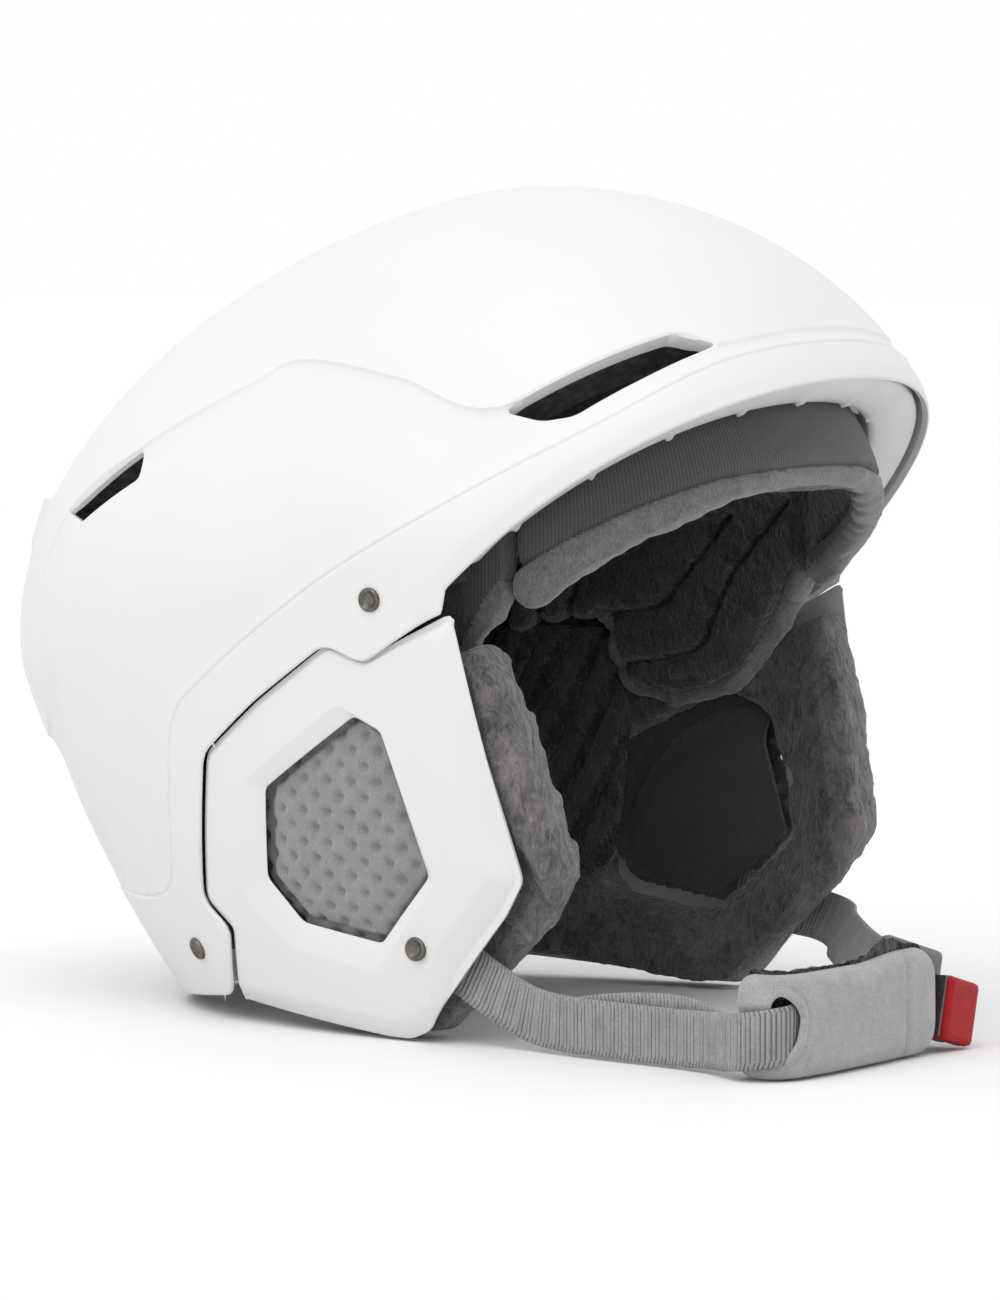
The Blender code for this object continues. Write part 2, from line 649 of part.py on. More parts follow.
# ---- chin strap and buckle -------------------------------------------------------------------
# Stations are x, y, z in millimetres, then the lean of the width and the heading of that lean.
RIGHT_STRAP = [
    (-82.0, -29.0, 30.9, 29.0, 0.0), (-82.0, -36.0, 27.0, 29.0, 0.0), (-82.0, -48.0, 20.4, 28.0, 0.0),
    (-82.0, -58.0, 14.8, 22.0, 0.0), (-83.0, -70.0, 10.2, 9.0, 0.0), (-85.5, -84.0, 8.8, 0.0, 20.0),
    (-88.0, -101.0, 8.6, 0.0, 90.0), (-91.0, -121.0, 8.6, 0.0, 90.0),
    (-95.3, -136.0, 9.2, 0.0, 90.0), (-100.6, -144.0, 9.8, 0.0, 90.0),
    (-103.5, -151.5, 10.8, 0.0, 90.0), (-101.6, -159.0, 12.0, 0.0, 90.0),
    (-94.5, -163.0, 13.0, 0.0, 90.0), (-83.0, -162.2, 14.0, 0.0, 90.0),
    (-60.0, -160.6, 15.2, 2.0, 90.0), (-42.0, -159.2, 15.6, 8.0, 90.0),
    (-31.0, -158.0, 15.2, 13.0, 90.0), (-22.0, -156.3, 13.4, 14.85, 90.0),
    (-14.0, -155.2, 11.4, 14.85, 90.0)]
LEFT_STRAP = [
    (82.0, -29.0, 29.0, 15.0, 0.0), (82.0, -36.0, 27.0, 16.0, 0.0), (82.0, -48.0, 24.6, 20.0, 0.0),
    (81.5, -60.0, 22.9, 26.0, 6.0), (75.0, -70.0, 21.4, 30.0, 20.0), (61.0, -79.5, 20.3, 32.0, 32.0),
    (45.0, -92.8, 19.2, 30.0, 36.0), (30.0, -106.5, 18.2, 25.0, 40.0), (16.0, -122.0, 16.6, 19.0, 50.0),
    (5.0, -137.5, 14.6, 15.5, 75.0), (-3.0, -147.5, 13.9, 14.85, 90.0),
    (-9.0, -149.8, 14.9, 14.85, 90.0), (-15.4, -150.1, 16.6, 14.85, 90.0)]
PAD_ROUTE = [(-95.0, -146.5, 14.9, 0.0, 0.0), (-97.6, -152.5, 14.9, 0.0, 0.0),
             (-95.5, -158.3, 14.9, 0.0, 0.0), (-86.0, -160.5, 14.9, 0.0, 0.0),
             (-58.0, -160.4, 14.9, 0.0, 0.0), (-16.0, -158.2, 14.9, 0.0, 0.0)]
PAD_HEIGHT = 0.0282
CHIN_PAD_THICKNESS = 0.0080
SLEEVE_CLEARANCE = 0.0010
BUCKLE_CENTRE = Vector((-0.0128, -0.1615, 0.0109))
BUCKLE_ROLL = math.radians(14.85)
TAB_BOX = ((-0.0080, -0.0031, -0.0089), (0.0080, 0.0031, 0.0089))
SPRING_POCKET = ((-0.0058, -0.0012, -0.0020), (0.0064, 0.0040, 0.0020))
PLATE_BOX = ((-0.0095, -0.0019, -0.0084), (-0.0085, 0.0018, 0.0084))
PAD_END_BOX = ((-0.0102, -0.0200, -0.0300), (0.0400, 0.0200, 0.0300))
HOUSING_BOX = ((-0.0080, 0.0036, -0.0084), (0.0075, 0.0086, 0.0090))
POST_BOX = ((0.0032, 0.0004, -0.0013), (0.0046, 0.0050, 0.0013))
TONGUE_BOX = ((-0.0220, 0.0091, -0.0050), (0.0070, 0.0138, 0.0170))
STUD_PLACE = (0.0034, 0.0)
STUD_RADIUS = 0.0029
STUD_REACH = (0.0056, 0.0110)
BORE_RADIUS = 0.0034
BORE_REACH = (0.0052, 0.0120)
SPRING_START = -0.0054
SPRING_LENGTH = 0.0050
SPRING_BEHIND = 0.0011


def buckle_frame():
    """Frame of the buckle: it lies rolled about the front axis, its free end lower."""
    return Matrix.Translation(BUCKLE_CENTRE) @ Matrix.Rotation(BUCKLE_ROLL, 4, "Y")


def buckle_box(name, corners, mat=None, collection=CUTTERS, bevel=0.0):
    """Box given in the buckle's own frame."""
    obj = box(name, *corners, mat, collection, bevel)
    obj.matrix_world = buckle_frame() @ Matrix.Translation(obj.location)
    return obj


def buckle_peg(name, reach, radius):
    """Round peg through the snap stud's place, along the buckle's Y axis."""
    y_low, y_high = reach
    centre = buckle_frame() @ Vector((STUD_PLACE[0], 0.5 * (y_low + y_high), STUD_PLACE[1]))
    return peg(name, centre, (0, 1, 0), radius, y_high - y_low, sides=24)


def lengthened(stations, extra=0.6):
    """Route that ends a little further on, so that a slot is deeper than its strap."""
    last, before = stations[-1], stations[-2]
    step = [a - b for a, b in zip(last[:3], before[:3])]
    share = extra / math.sqrt(sum(c * c for c in step))
    return stations[:-1] + [tuple(a + share * c for a, c in zip(last, step)) + last[3:]]


def strap_hole(side):
    return peg(f"cut_strap_{side}", (side * STRAP_PLANE, *STRAP_PIVOT), (1, 0, 0),
               RIVET_SHANK_RADIUS + 0.0004, 0.01)


def build_strap():
    """Both webbing straps and the padded chin sleeve."""
    right = ribbon("webbing_right", RIGHT_STRAP, WEBBING_WIDTH, WEBBING_THICKNESS, grey_webbing())
    left = ribbon("webbing_left", LEFT_STRAP, WEBBING_WIDTH, WEBBING_THICKNESS, grey_webbing())
    boolean(right, strap_hole(-1.0))
    boolean(left, strap_hole(1.0))
    clear_right, clear_left = [
        ribbon(f"cut_webbing_{side_name}", lengthened(route), WEBBING_WIDTH + SLEEVE_CLEARANCE,
               WEBBING_THICKNESS + SLEEVE_CLEARANCE, None, CUTTERS)
        for side_name, route in (("right", RIGHT_STRAP), ("left", LEFT_STRAP))]
    pad = ribbon("chin_pad", PAD_ROUTE, PAD_HEIGHT, CHIN_PAD_THICKNESS, grey_fabric())
    boolean(pad, buckle_box("cut_pad_end", PAD_END_BOX))
    boolean(pad, clear_right)
    build_buckle(clear_right, clear_left)
    build_spring()


def build_buckle(clear_right, clear_left):
    """Snap buckle: a socket half with its red release, and a stud half on the other strap."""
    housing = buckle_box("buckle_housing", HOUSING_BOX, dark_plastic(), PARTS, 0.0012)
    boolean(housing, buckle_box("add_post", POST_BOX), "UNION")
    boolean(housing, buckle_peg("cut_stud_bore", BORE_REACH, BORE_RADIUS))
    boolean(housing, clear_right)
    buckle_box("latch_plate", PLATE_BOX, dark_nickel(), PARTS)
    tab = buckle_box("release_tab", TAB_BOX, red_plastic(), PARTS, 0.0016)
    boolean(tab, buckle_box("cut_spring_pocket", SPRING_POCKET))
    tongue = buckle_box("buckle_tongue", TONGUE_BOX, dark_plastic(), PARTS, 0.0014)
    boolean(tongue, buckle_peg("add_stud", STUD_REACH, STUD_RADIUS), "UNION")
    boolean(tongue, clear_left)


def build_spring():
    """Return spring of the release tab, a small coil along the buckle's X axis."""
    turns, per_turn, radius, wire = 5, 8, 0.00095, 0.00022
    curve = bpy.data.curves.new("release_spring", "CURVE")
    curve.dimensions = "3D"
    curve.bevel_depth = wire
    curve.bevel_resolution = 0
    curve.use_fill_caps = True
    spline = curve.splines.new("POLY")
    count = turns * per_turn + 1
    spline.points.add(count - 1)
    for k, point in enumerate(spline.points):
        angle = 2.0 * math.pi * k / per_turn
        point.co = (SPRING_START + SPRING_LENGTH * k / (count - 1),
                    SPRING_BEHIND + radius * math.cos(angle), radius * math.sin(angle), 1.0)
    curve_obj = bpy.data.objects.new("release_spring", curve)
    PARTS.objects.link(curve_obj)
    curve_obj.matrix_world = buckle_frame()
    bpy.context.view_layer.update()
    obj = curve_to_mesh(curve_obj, "release_spring", PARTS)
    obj.data.materials.append(dark_nickel())


build_shell_and_foam()
build_pads()
for side_label, side_sign in SIDES.items():
    build_ear(side_label, side_sign)
    build_rivets(side_label, side_sign)
build_goggle_clip()
build_fit_system()
build_strap()
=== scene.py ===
import math

import bmesh
import bpy
import numpy as np
from mathutils import Matrix, Vector


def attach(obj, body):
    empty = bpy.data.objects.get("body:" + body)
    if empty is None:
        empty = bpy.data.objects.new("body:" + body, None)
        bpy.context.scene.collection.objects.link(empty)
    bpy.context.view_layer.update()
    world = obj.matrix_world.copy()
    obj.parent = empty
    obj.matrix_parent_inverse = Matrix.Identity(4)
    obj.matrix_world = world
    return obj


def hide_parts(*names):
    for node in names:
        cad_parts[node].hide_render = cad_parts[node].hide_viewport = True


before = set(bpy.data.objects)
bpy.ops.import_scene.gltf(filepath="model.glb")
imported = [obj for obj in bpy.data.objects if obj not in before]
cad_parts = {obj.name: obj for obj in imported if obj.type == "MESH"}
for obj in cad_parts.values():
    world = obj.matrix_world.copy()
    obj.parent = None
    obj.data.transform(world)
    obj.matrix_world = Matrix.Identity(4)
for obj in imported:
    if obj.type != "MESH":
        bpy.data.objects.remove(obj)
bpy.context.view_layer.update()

MM = 0.001

# ---- camera, taken as a long lens well back from the helmet ----------------------------------
CAMERA_PLACE = (-1.4845, -1.0453, 0.2165)
CAMERA_AZIMUTH = -54.854
CAMERA_ELEVATION = 3.5537
CAMERA_LENS = 173.54

# ---- the shell's body, the same shape as the frame's -----------------------------------------
HALF_WIDTH = 0.1053
FRONT_LENGTH = 0.1224
REAR_LENGTH = 0.1730
CROWN_HEIGHT = 0.1060
SIDE_DEPTH = 0.3186
REAR_DEPTH = 0.2305
PLAN_POWER = 2.15
CROWN_POWER = 1.915
LOWER_POWER = 1.319
FRONT_FLARE = 0.046
FLARE_START = 0.0288
FLARE_RUN = 0.1248
PITCH = math.radians(13.07)
CENTRE = np.array((0.0, -0.0145, 0.1315))
SHELL_THICKNESS = 0.0019
FOAM_DEPTH = 0.0032
FOAM_THICKNESS = 0.017
PAD_DEPTH = 0.0206
EAR_PAD_DEPTH = 0.0056
SKIN_SHARP_ANGLE = 40.0
SHELL_SHARP_ANGLE = 38.0

# ---- side-view outlines (y, z) ----------------------------------------------------------------
BRIM_START_Y = -0.0433
BRIM_CURVE = (0.1170, 0.9872, -1.7635)
EDGE_RADIUS = 0.004
SHELL_EDGE = [(-0.0525, 0.1205), (-0.047, 0.118), (-0.027, 0.106), (-0.014, 0.111), (0.013, 0.094),
              (0.035, 0.078), (0.046, 0.035), (0.036, 0.027), (0.042, 0.007), (0.0977, 0.0004)]
FOAM_EDGE = [(-0.0525, 0.129), (-0.048, 0.127), (-0.027, 0.115), (-0.013, 0.120), (0.016, 0.103),
             (0.041, 0.083), (0.052, 0.037), (0.046, 0.029), (0.053, 0.014), (0.100, 0.007)]
COVER_OUTLINE = [(-0.0550, 0.1194), (-0.0270, 0.1058), (-0.0146, 0.1100), (0.0120, 0.0930),
                 (0.0340, 0.0773), (0.0451, 0.0351), (0.0351, 0.0273), (0.0408, 0.0052),
                 (-0.021, 0.0002), (-0.029, 0.0002), (-0.036, 0.003), (-0.042, 0.011),
                 (-0.065, 0.037), (-0.071, 0.047), (-0.063, 0.080)]
WINDOW = [(-0.021, 0.091), (-0.030, 0.087), (-0.042, 0.047), (-0.023, 0.027),
          (0.006, 0.031), (0.018, 0.043), (0.014, 0.069)]
WINDOW_CHAMFER = [(-0.0165, 0.0945), (-0.0308, 0.0878), (-0.0445, 0.0455), (-0.0210, 0.0190),
                  (0.0120, 0.0240), (0.0290, 0.0380), (0.0220, 0.0700)]
WINDOW_MIDDLE = (-0.012, 0.058)


def smoothstep(t):
    """Smooth step from 0 to 1."""
    t = np.clip(t, 0.0, 1.0)
    return t * t * (3.0 - 2.0 * t)


# ---- body surface -----------------------------------------------------------------------------
def body_points(directions):
    """Points of the outer surface seen from the body's centre in the given directions."""
    d = directions / np.linalg.norm(directions, axis=1, keepdims=True)
    x, y, z = np.abs(d[:, 0]), d[:, 1], d[:, 2]
    length = np.where(y < 0.0, FRONT_LENGTH, REAR_LENGTH)
    plan = ((x / HALF_WIDTH) ** PLAN_POWER + (np.abs(y) / length) ** PLAN_POWER) ** (1 / PLAN_POWER)
    flat = np.maximum(x * x + y * y, 1e-12)
    bend = x * x / flat / SIDE_DEPTH ** 2 + y * y / flat / REAR_DEPTH ** 2
    rear = 1.0 / np.sqrt(np.maximum(bend, 1e-9))
    height = np.where(z > 0.0, CROWN_HEIGHT, np.where(y > 0.0, rear, SIDE_DEPTH))
    power = np.where(z > 0.0, CROWN_POWER, LOWER_POWER)
    rise = np.abs(z) / height
    radius = (plan ** CROWN_POWER + rise ** CROWN_POWER) ** (-1.0 / CROWN_POWER)
    for _ in range(10):
        value = (plan * radius) ** CROWN_POWER + (rise * radius) ** power - 1.0
        slope = (CROWN_POWER * plan ** CROWN_POWER * radius ** (CROWN_POWER - 1.0)
                 + power * rise ** power * radius ** (power - 1.0))
        radius = radius - value / slope
    local = d * radius[:, None]
    local[:, 0] *= 1.0 + FRONT_FLARE * smoothstep((FLARE_START - local[:, 1]) / FLARE_RUN)
    c, s = math.cos(PITCH), math.sin(PITCH)
    return CENTRE + np.stack((local[:, 0], local[:, 1] * c + local[:, 2] * s,
                              local[:, 2] * c - local[:, 1] * s), 1)


def body_directions(points):
    """Directions in which body_points reaches given places."""
    x, y, z = (points - CENTRE).T
    c, s = math.cos(PITCH), math.sin(PITCH)
    py, pz = y * c - z * s, y * s + z * c
    return np.stack((x / (1.0 + FRONT_FLARE * smoothstep((FLARE_START - py) / FLARE_RUN)), py, pz), 1)


def body_normals(directions):
    """Outward normals of the body in the given directions."""
    d = directions / np.linalg.norm(directions, axis=1, keepdims=True)
    helper = np.where(np.abs(d[:, 2:]) < 0.9, np.array((0.0, 0.0, 1.0)), np.array((1.0, 0.0, 0.0)))
    a = np.cross(d, helper)
    a /= np.linalg.norm(a, axis=1, keepdims=True)
    b = np.cross(d, a)
    step = 0.003
    across = body_points(d + step * a) - body_points(d - step * a)
    along = body_points(d + step * b) - body_points(d - step * b)
    n = np.cross(across, along)
    n /= np.linalg.norm(n, axis=1, keepdims=True)
    return n * np.sign(((body_points(d) - CENTRE) * n).sum(1))[:, None]


def on_body(points, depth=0.0):
    """Places moved onto the body, or to a depth below it."""
    d = body_directions(points)
    depth = np.broadcast_to(depth, (len(points),))
    return body_points(d) - body_normals(d) * depth[:, None]


def depth_below(points):
    """How deep places lie under the outer surface."""
    d = body_directions(points)
    return ((body_points(d) - points) * body_normals(d)).sum(1)


def side_points(y, z, side, depth=0.0):
    """Places at a depth below the outer surface, over given side-view places."""
    y, z = np.asarray(y, float), np.asarray(z, float)
    low, high = np.full(y.shape, 0.015), np.full(y.shape, 0.112)
    for _ in range(30):
        x = 0.5 * (low + high)
        p = np.stack((x, y, z), 1)
        inside = np.linalg.norm(p - CENTRE, axis=1) < np.linalg.norm(on_body(p) - CENTRE, axis=1)
        low, high = np.where(inside, x, low), np.where(inside, high, x)
    p = np.stack((side * 0.5 * (low + high), y, z), 1)
    depth = np.broadcast_to(depth, (len(p),))
    return p - body_normals(body_directions(p)) * depth[:, None]


# ---- outlines and distances -------------------------------------------------------------------
def rounded(outline, radius, steps=5):
    """Closed outline with its corners rounded."""
    pts = np.array(outline, float)
    result = []
    for k, corner in enumerate(pts):
        before, after = pts[k - 1] - corner, pts[(k + 1) % len(pts)] - corner
        a = corner + before * min(0.45, radius / np.linalg.norm(before))
        b = corner + after * min(0.45, radius / np.linalg.norm(after))
        for j in range(steps + 1):
            t = j / steps
            result.append((1 - t) ** 2 * a + 2 * t * (1 - t) * corner + t * t * b)
    return np.array(result)


def line_distance(points, start, end):
    """Distance of 2D places from a straight line between two of them."""
    rel = points - start
    edge = end - start
    t = np.clip((rel @ edge) / max(edge @ edge, 1e-18), 0.0, 1.0)
    return np.linalg.norm(rel - t[:, None] * edge, axis=1)


def inside_distance(points, outline):
    """Distance of 2D places from a closed outline, positive inside it."""
    best = np.full(len(points), 1e9)
    crossings = np.zeros(len(points), int)
    for start, end in zip(outline, np.roll(outline, -1, axis=0)):
        best = np.minimum(best, line_distance(points, start, end))
        crosses = (start[1] > points[:, 1]) != (end[1] > points[:, 1])
        edge = end - start
        if edge[1]:
            crossings += crosses & (points[:, 0] < start[0] + (points[:, 1] - start[1]) * edge[0] / edge[1])
    return np.where(crossings % 2 == 1, best, -best)


def distance_walked(points):
    """Distance along a line of points, from its start."""
    return np.concatenate(([0.0], np.cumsum(np.linalg.norm(np.diff(points, axis=0), axis=1))))


def resampled(outline, count):
    """Evenly spaced points round a closed outline."""
    closed = np.vstack((outline, outline[:1]))
    walked = distance_walked(closed)
    at = np.linspace(0.0, walked[-1], count, endpoint=False)
    return np.stack([np.interp(at, walked, closed[:, k]) for k in (0, 1)], 1)


def smooth_route(stations, steps):
    """Catmull-Rom samples of a list of stations, each a tuple of the same length."""
    pts = np.array(stations, float)
    pts = np.vstack((2 * pts[0] - pts[1], pts, 2 * pts[-1] - pts[-2]))
    samples = []
    for a, b, c, d in zip(pts, pts[1:], pts[2:], pts[3:]):
        for k in range(steps):
            t = k / steps
            samples.append(0.5 * (2 * b + (c - a) * t + (2 * a - 5 * b + 4 * c - d) * t * t
                                  + (3 * b - a - 3 * c + d) * t ** 3))
    samples.append(pts[-2])
    return np.array(samples)


def from_stripe(place, pitch):
    """Distance from the nearest of evenly spaced stripes."""
    return np.abs((place / pitch + 0.5) % 1.0 - 0.5) * pitch


def from_dot(flat, pitch, slant=0.0):
    """Distance from the nearest dot of a staggered pattern."""
    row = np.round(flat[:, 1] / pitch[1])
    across = flat[:, 0] + slant * flat[:, 1] - 0.5 * (row % 2) * pitch[0]
    return np.hypot(across - np.round(across / pitch[0]) * pitch[0], flat[:, 1] - row * pitch[1])


def brim_height(y, lift=0.0):
    """Height of the brim's edge in the side view."""
    t = BRIM_START_Y - y
    return BRIM_CURVE[0] + BRIM_CURVE[1] * t + BRIM_CURVE[2] * t * t + lift


def below(edge, lift):
    """Side-view region under a lower edge."""
    brim = [(y, brim_height(y, lift)) for y in np.linspace(-0.20, -0.054, 26)]
    tail = rounded(edge, EDGE_RADIUS)[6:-6]
    corners = [(0.2, edge[-1][1]), (0.2, -0.3), (-0.2, -0.3)]
    return np.array(brim + [edge[0]] + [tuple(p) for p in tail] + [edge[-1]] + corners)


def value_noise(points, pitch, seed=0):
    """Smooth random values, -1 to 1, with a given pitch."""
    q = points / pitch
    base = np.floor(q).astype(np.int64)
    f = q - base
    f = f * f * (3 - 2 * f)
    total = np.zeros(len(points))
    for corner in range(8):
        offset = np.array([(corner >> k) & 1 for k in range(3)])
        cell = base + offset
        mixed = cell[:, 0] * 73856093 ^ cell[:, 1] * 19349663 ^ cell[:, 2] * 83492791 ^ (seed * 2654435)
        mixed = (mixed ^ (mixed >> 13)) * 1274126177 & 0x7FFFFFFF
        weight = np.prod(np.where(offset == 1, f, 1 - f), axis=1)
        total += weight * ((mixed % 65536) / 32768.0 - 1.0)
    return total


# ---- mesh helpers -------------------------------------------------------------------------------
def linked(name, data):
    """New object in the scene."""
    obj = bpy.data.objects.new(name, data)
    bpy.context.scene.collection.objects.link(obj)
    return obj


def shade(mesh, sharp_angle=None):
    """Smooth shading, with sharp edges above an angle in degrees."""
    mesh.shade_smooth()
    if sharp_angle:
        mesh.set_sharp_from_angle(angle=math.radians(sharp_angle))


def new_object(name, mesh, mats=(), sharp_angle=None):
    """Object for a mesh, with its materials and smooth shading."""
    obj = linked(name, mesh)
    for mat in mats:
        mesh.materials.append(mat)
    shade(mesh, sharp_angle)
    return obj


def grid_mesh(name, points, closed_u=False, closed_v=False):
    """Quad mesh over an array of points, rows by columns."""
    rows, cols = points.shape[:2]
    index = np.arange(rows * cols).reshape(rows, cols)
    if closed_u:
        index = np.vstack((index, index[:1]))
    if closed_v:
        index = np.hstack((index, index[:, :1]))
    quads = np.stack((index[:-1, :-1], index[1:, :-1], index[1:, 1:], index[:-1, 1:]), -1).reshape(-1, 4)
    mesh = bpy.data.meshes.new(name)
    mesh.from_pydata(points.reshape(-1, 3).tolist(), [], quads.tolist())
    mesh.update()
    return mesh


def coordinates(mesh):
    """Places of a mesh's vertices."""
    co = np.empty(len(mesh.vertices) * 3)
    mesh.vertices.foreach_get("co", co)
    return co.reshape(-1, 3)


def set_coordinates(mesh, points):
    """Moves a mesh's vertices."""
    mesh.vertices.foreach_set("co", np.asarray(points, float).ravel())
    mesh.update()


def vertex_normals(mesh):
    """Normals at a mesh's vertices."""
    n = np.empty(len(mesh.vertices) * 3)
    mesh.vertex_normals.foreach_get("vector", n)
    return n.reshape(-1, 3)


def applied(obj):
    """Bakes an object's modifiers into its mesh."""
    dg = bpy.context.evaluated_depsgraph_get()
    mesh = bpy.data.meshes.new_from_object(obj.evaluated_get(dg))
    obj.modifiers.clear()
    old = obj.data
    obj.data = mesh
    bpy.data.meshes.remove(old)
    mesh.name = obj.name
    return obj


def turned_outward(mesh, fill=False):
    """Fills a mesh's holes where wanted, and turns its faces outward."""
    bm = bmesh.new()
    bm.from_mesh(mesh)
    if fill:
        bmesh.ops.holes_fill(bm, edges=bm.edges[:])
    bmesh.ops.recalc_face_normals(bm, faces=bm.faces[:])
    bm.to_mesh(mesh)
    bm.free()


def without(mesh, gone):
    """Deletes the marked vertices of a mesh."""
    bm = bmesh.new()
    bm.from_mesh(mesh)
    bm.verts.index_update()
    bmesh.ops.delete(bm, geom=[v for v in bm.verts if gone[v.index]], context="VERTS")
    bm.to_mesh(mesh)
    bm.free()


def thicken(obj, thickness, offset=-1.0, sharp_angle=None):
    """Makes a sheet solid: inward with an offset of -1, both ways with 0."""
    solid = obj.modifiers.new("Solidify", "SOLIDIFY")
    solid.thickness = thickness
    solid.offset = offset
    applied(obj)
    shade(obj.data, sharp_angle)


def soften(obj, width, angle):
    """Bevels the edges sharper than an angle in degrees."""
    bevel = obj.modifiers.new("Bevel", "BEVEL")
    bevel.width = width
    bevel.segments = 3
    bevel.limit_method = "ANGLE"
    bevel.angle_limit = math.radians(angle)
    bevel.harden_normals = True


def bm_points(bm):
    """Places of a bmesh's vertices."""
    return np.array([v.co[:] for v in bm.verts])


def set_bm_points(bm, points):
    """Moves a bmesh's vertices."""
    for vert, co in zip(bm.verts, points):
        vert.co = co


def body_grid(resolution):
    """Even quad mesh all over the body."""
    bm = bmesh.new()
    bmesh.ops.create_cube(bm, size=2.0)
    bmesh.ops.subdivide_edges(bm, edges=bm.edges[:], cuts=resolution - 1, use_grid_fill=True)
    set_bm_points(bm, body_points(np.tan(bm_points(bm) * math.pi / 4.0)))
    return bm


def drop_faces(bm, field, limit=0.0):
    """Deletes the faces whose middle has a field value under a limit."""
    middles = np.array([f.calc_center_median()[:] for f in bm.faces])
    values = field(middles)
    bmesh.ops.delete(bm, geom=[f for f, v in zip(bm.faces, values) if v < limit], context="FACES")


def refine(bm, near):
    """Halves the mesh near a feature."""
    mask = near(bm_points(bm))
    bm.verts.index_update()
    edges = [e for e in bm.edges if mask[e.verts[0].index] and mask[e.verts[1].index]]
    bmesh.ops.subdivide_edges(bm, edges=edges, cuts=1, use_grid_fill=True)
    set_bm_points(bm, on_body(bm_points(bm)))


def cut_along(bm, field, level):
    """Splits the mesh along one level of a field, so that the level line becomes edges."""
    bm.verts.index_update()
    values = field(bm_points(bm)) - level
    marked = set()
    for edge in bm.edges[:]:
        a, b = edge.verts
        fa, fb = values[a.index], values[b.index]
        if fa * fb >= 0.0:
            continue
        t = fa / (fa - fb)
        if t < 0.04:
            a.co = a.co.lerp(b.co, t)
            marked.add(a)
        elif t > 0.96:
            b.co = b.co.lerp(a.co, 1.0 - t)
            marked.add(b)
        else:
            marked.add(bmesh.utils.edge_split(edge, a, t)[1])
    bmesh.ops.connect_verts(bm, verts=list(marked))


def cut_body(resolution, keep, cuts, near=None):
    """Part of the body where keep > 0, finer near a feature, with edges along the cuts."""
    bm = body_grid(resolution)
    drop_faces(bm, keep, -0.006)
    if near is not None:
        refine(bm, near)
    cut_along(bm, keep, 0.0)
    drop_faces(bm, keep)
    for field, level in cuts:
        cut_along(bm, field, level)
    return bm


def sink(bm, depth):
    """Moves a mesh on the body to a field of depths below it."""
    points = bm_points(bm)
    set_bm_points(bm, on_body(points, depth(points)))


def body_object(bm, name, mat, sharp_angle):
    """Object from a mesh on the body, its faces turned outward."""
    bmesh.ops.recalc_face_normals(bm, faces=bm.faces[:])
    mesh = bpy.data.meshes.new(name)
    bm.to_mesh(mesh)
    bm.free()
    obj = new_object(name, mesh, [mat], sharp_angle)
    if (vertex_normals(mesh) * (coordinates(mesh) - CENTRE)).sum() < 0.0:
        mesh.flip_normals()
    return obj


def skin(name, resolution, keep, depth, thickness, mat, near=None):
    """Layer under the body's surface: kept where keep > 0, sunk by a depth field."""
    bm = cut_body(resolution, keep, [], near)
    sink(bm, depth)
    obj = body_object(bm, name, mat, SKIN_SHARP_ANGLE)
    thicken(obj, thickness, sharp_angle=SKIN_SHARP_ANGLE)
    return obj


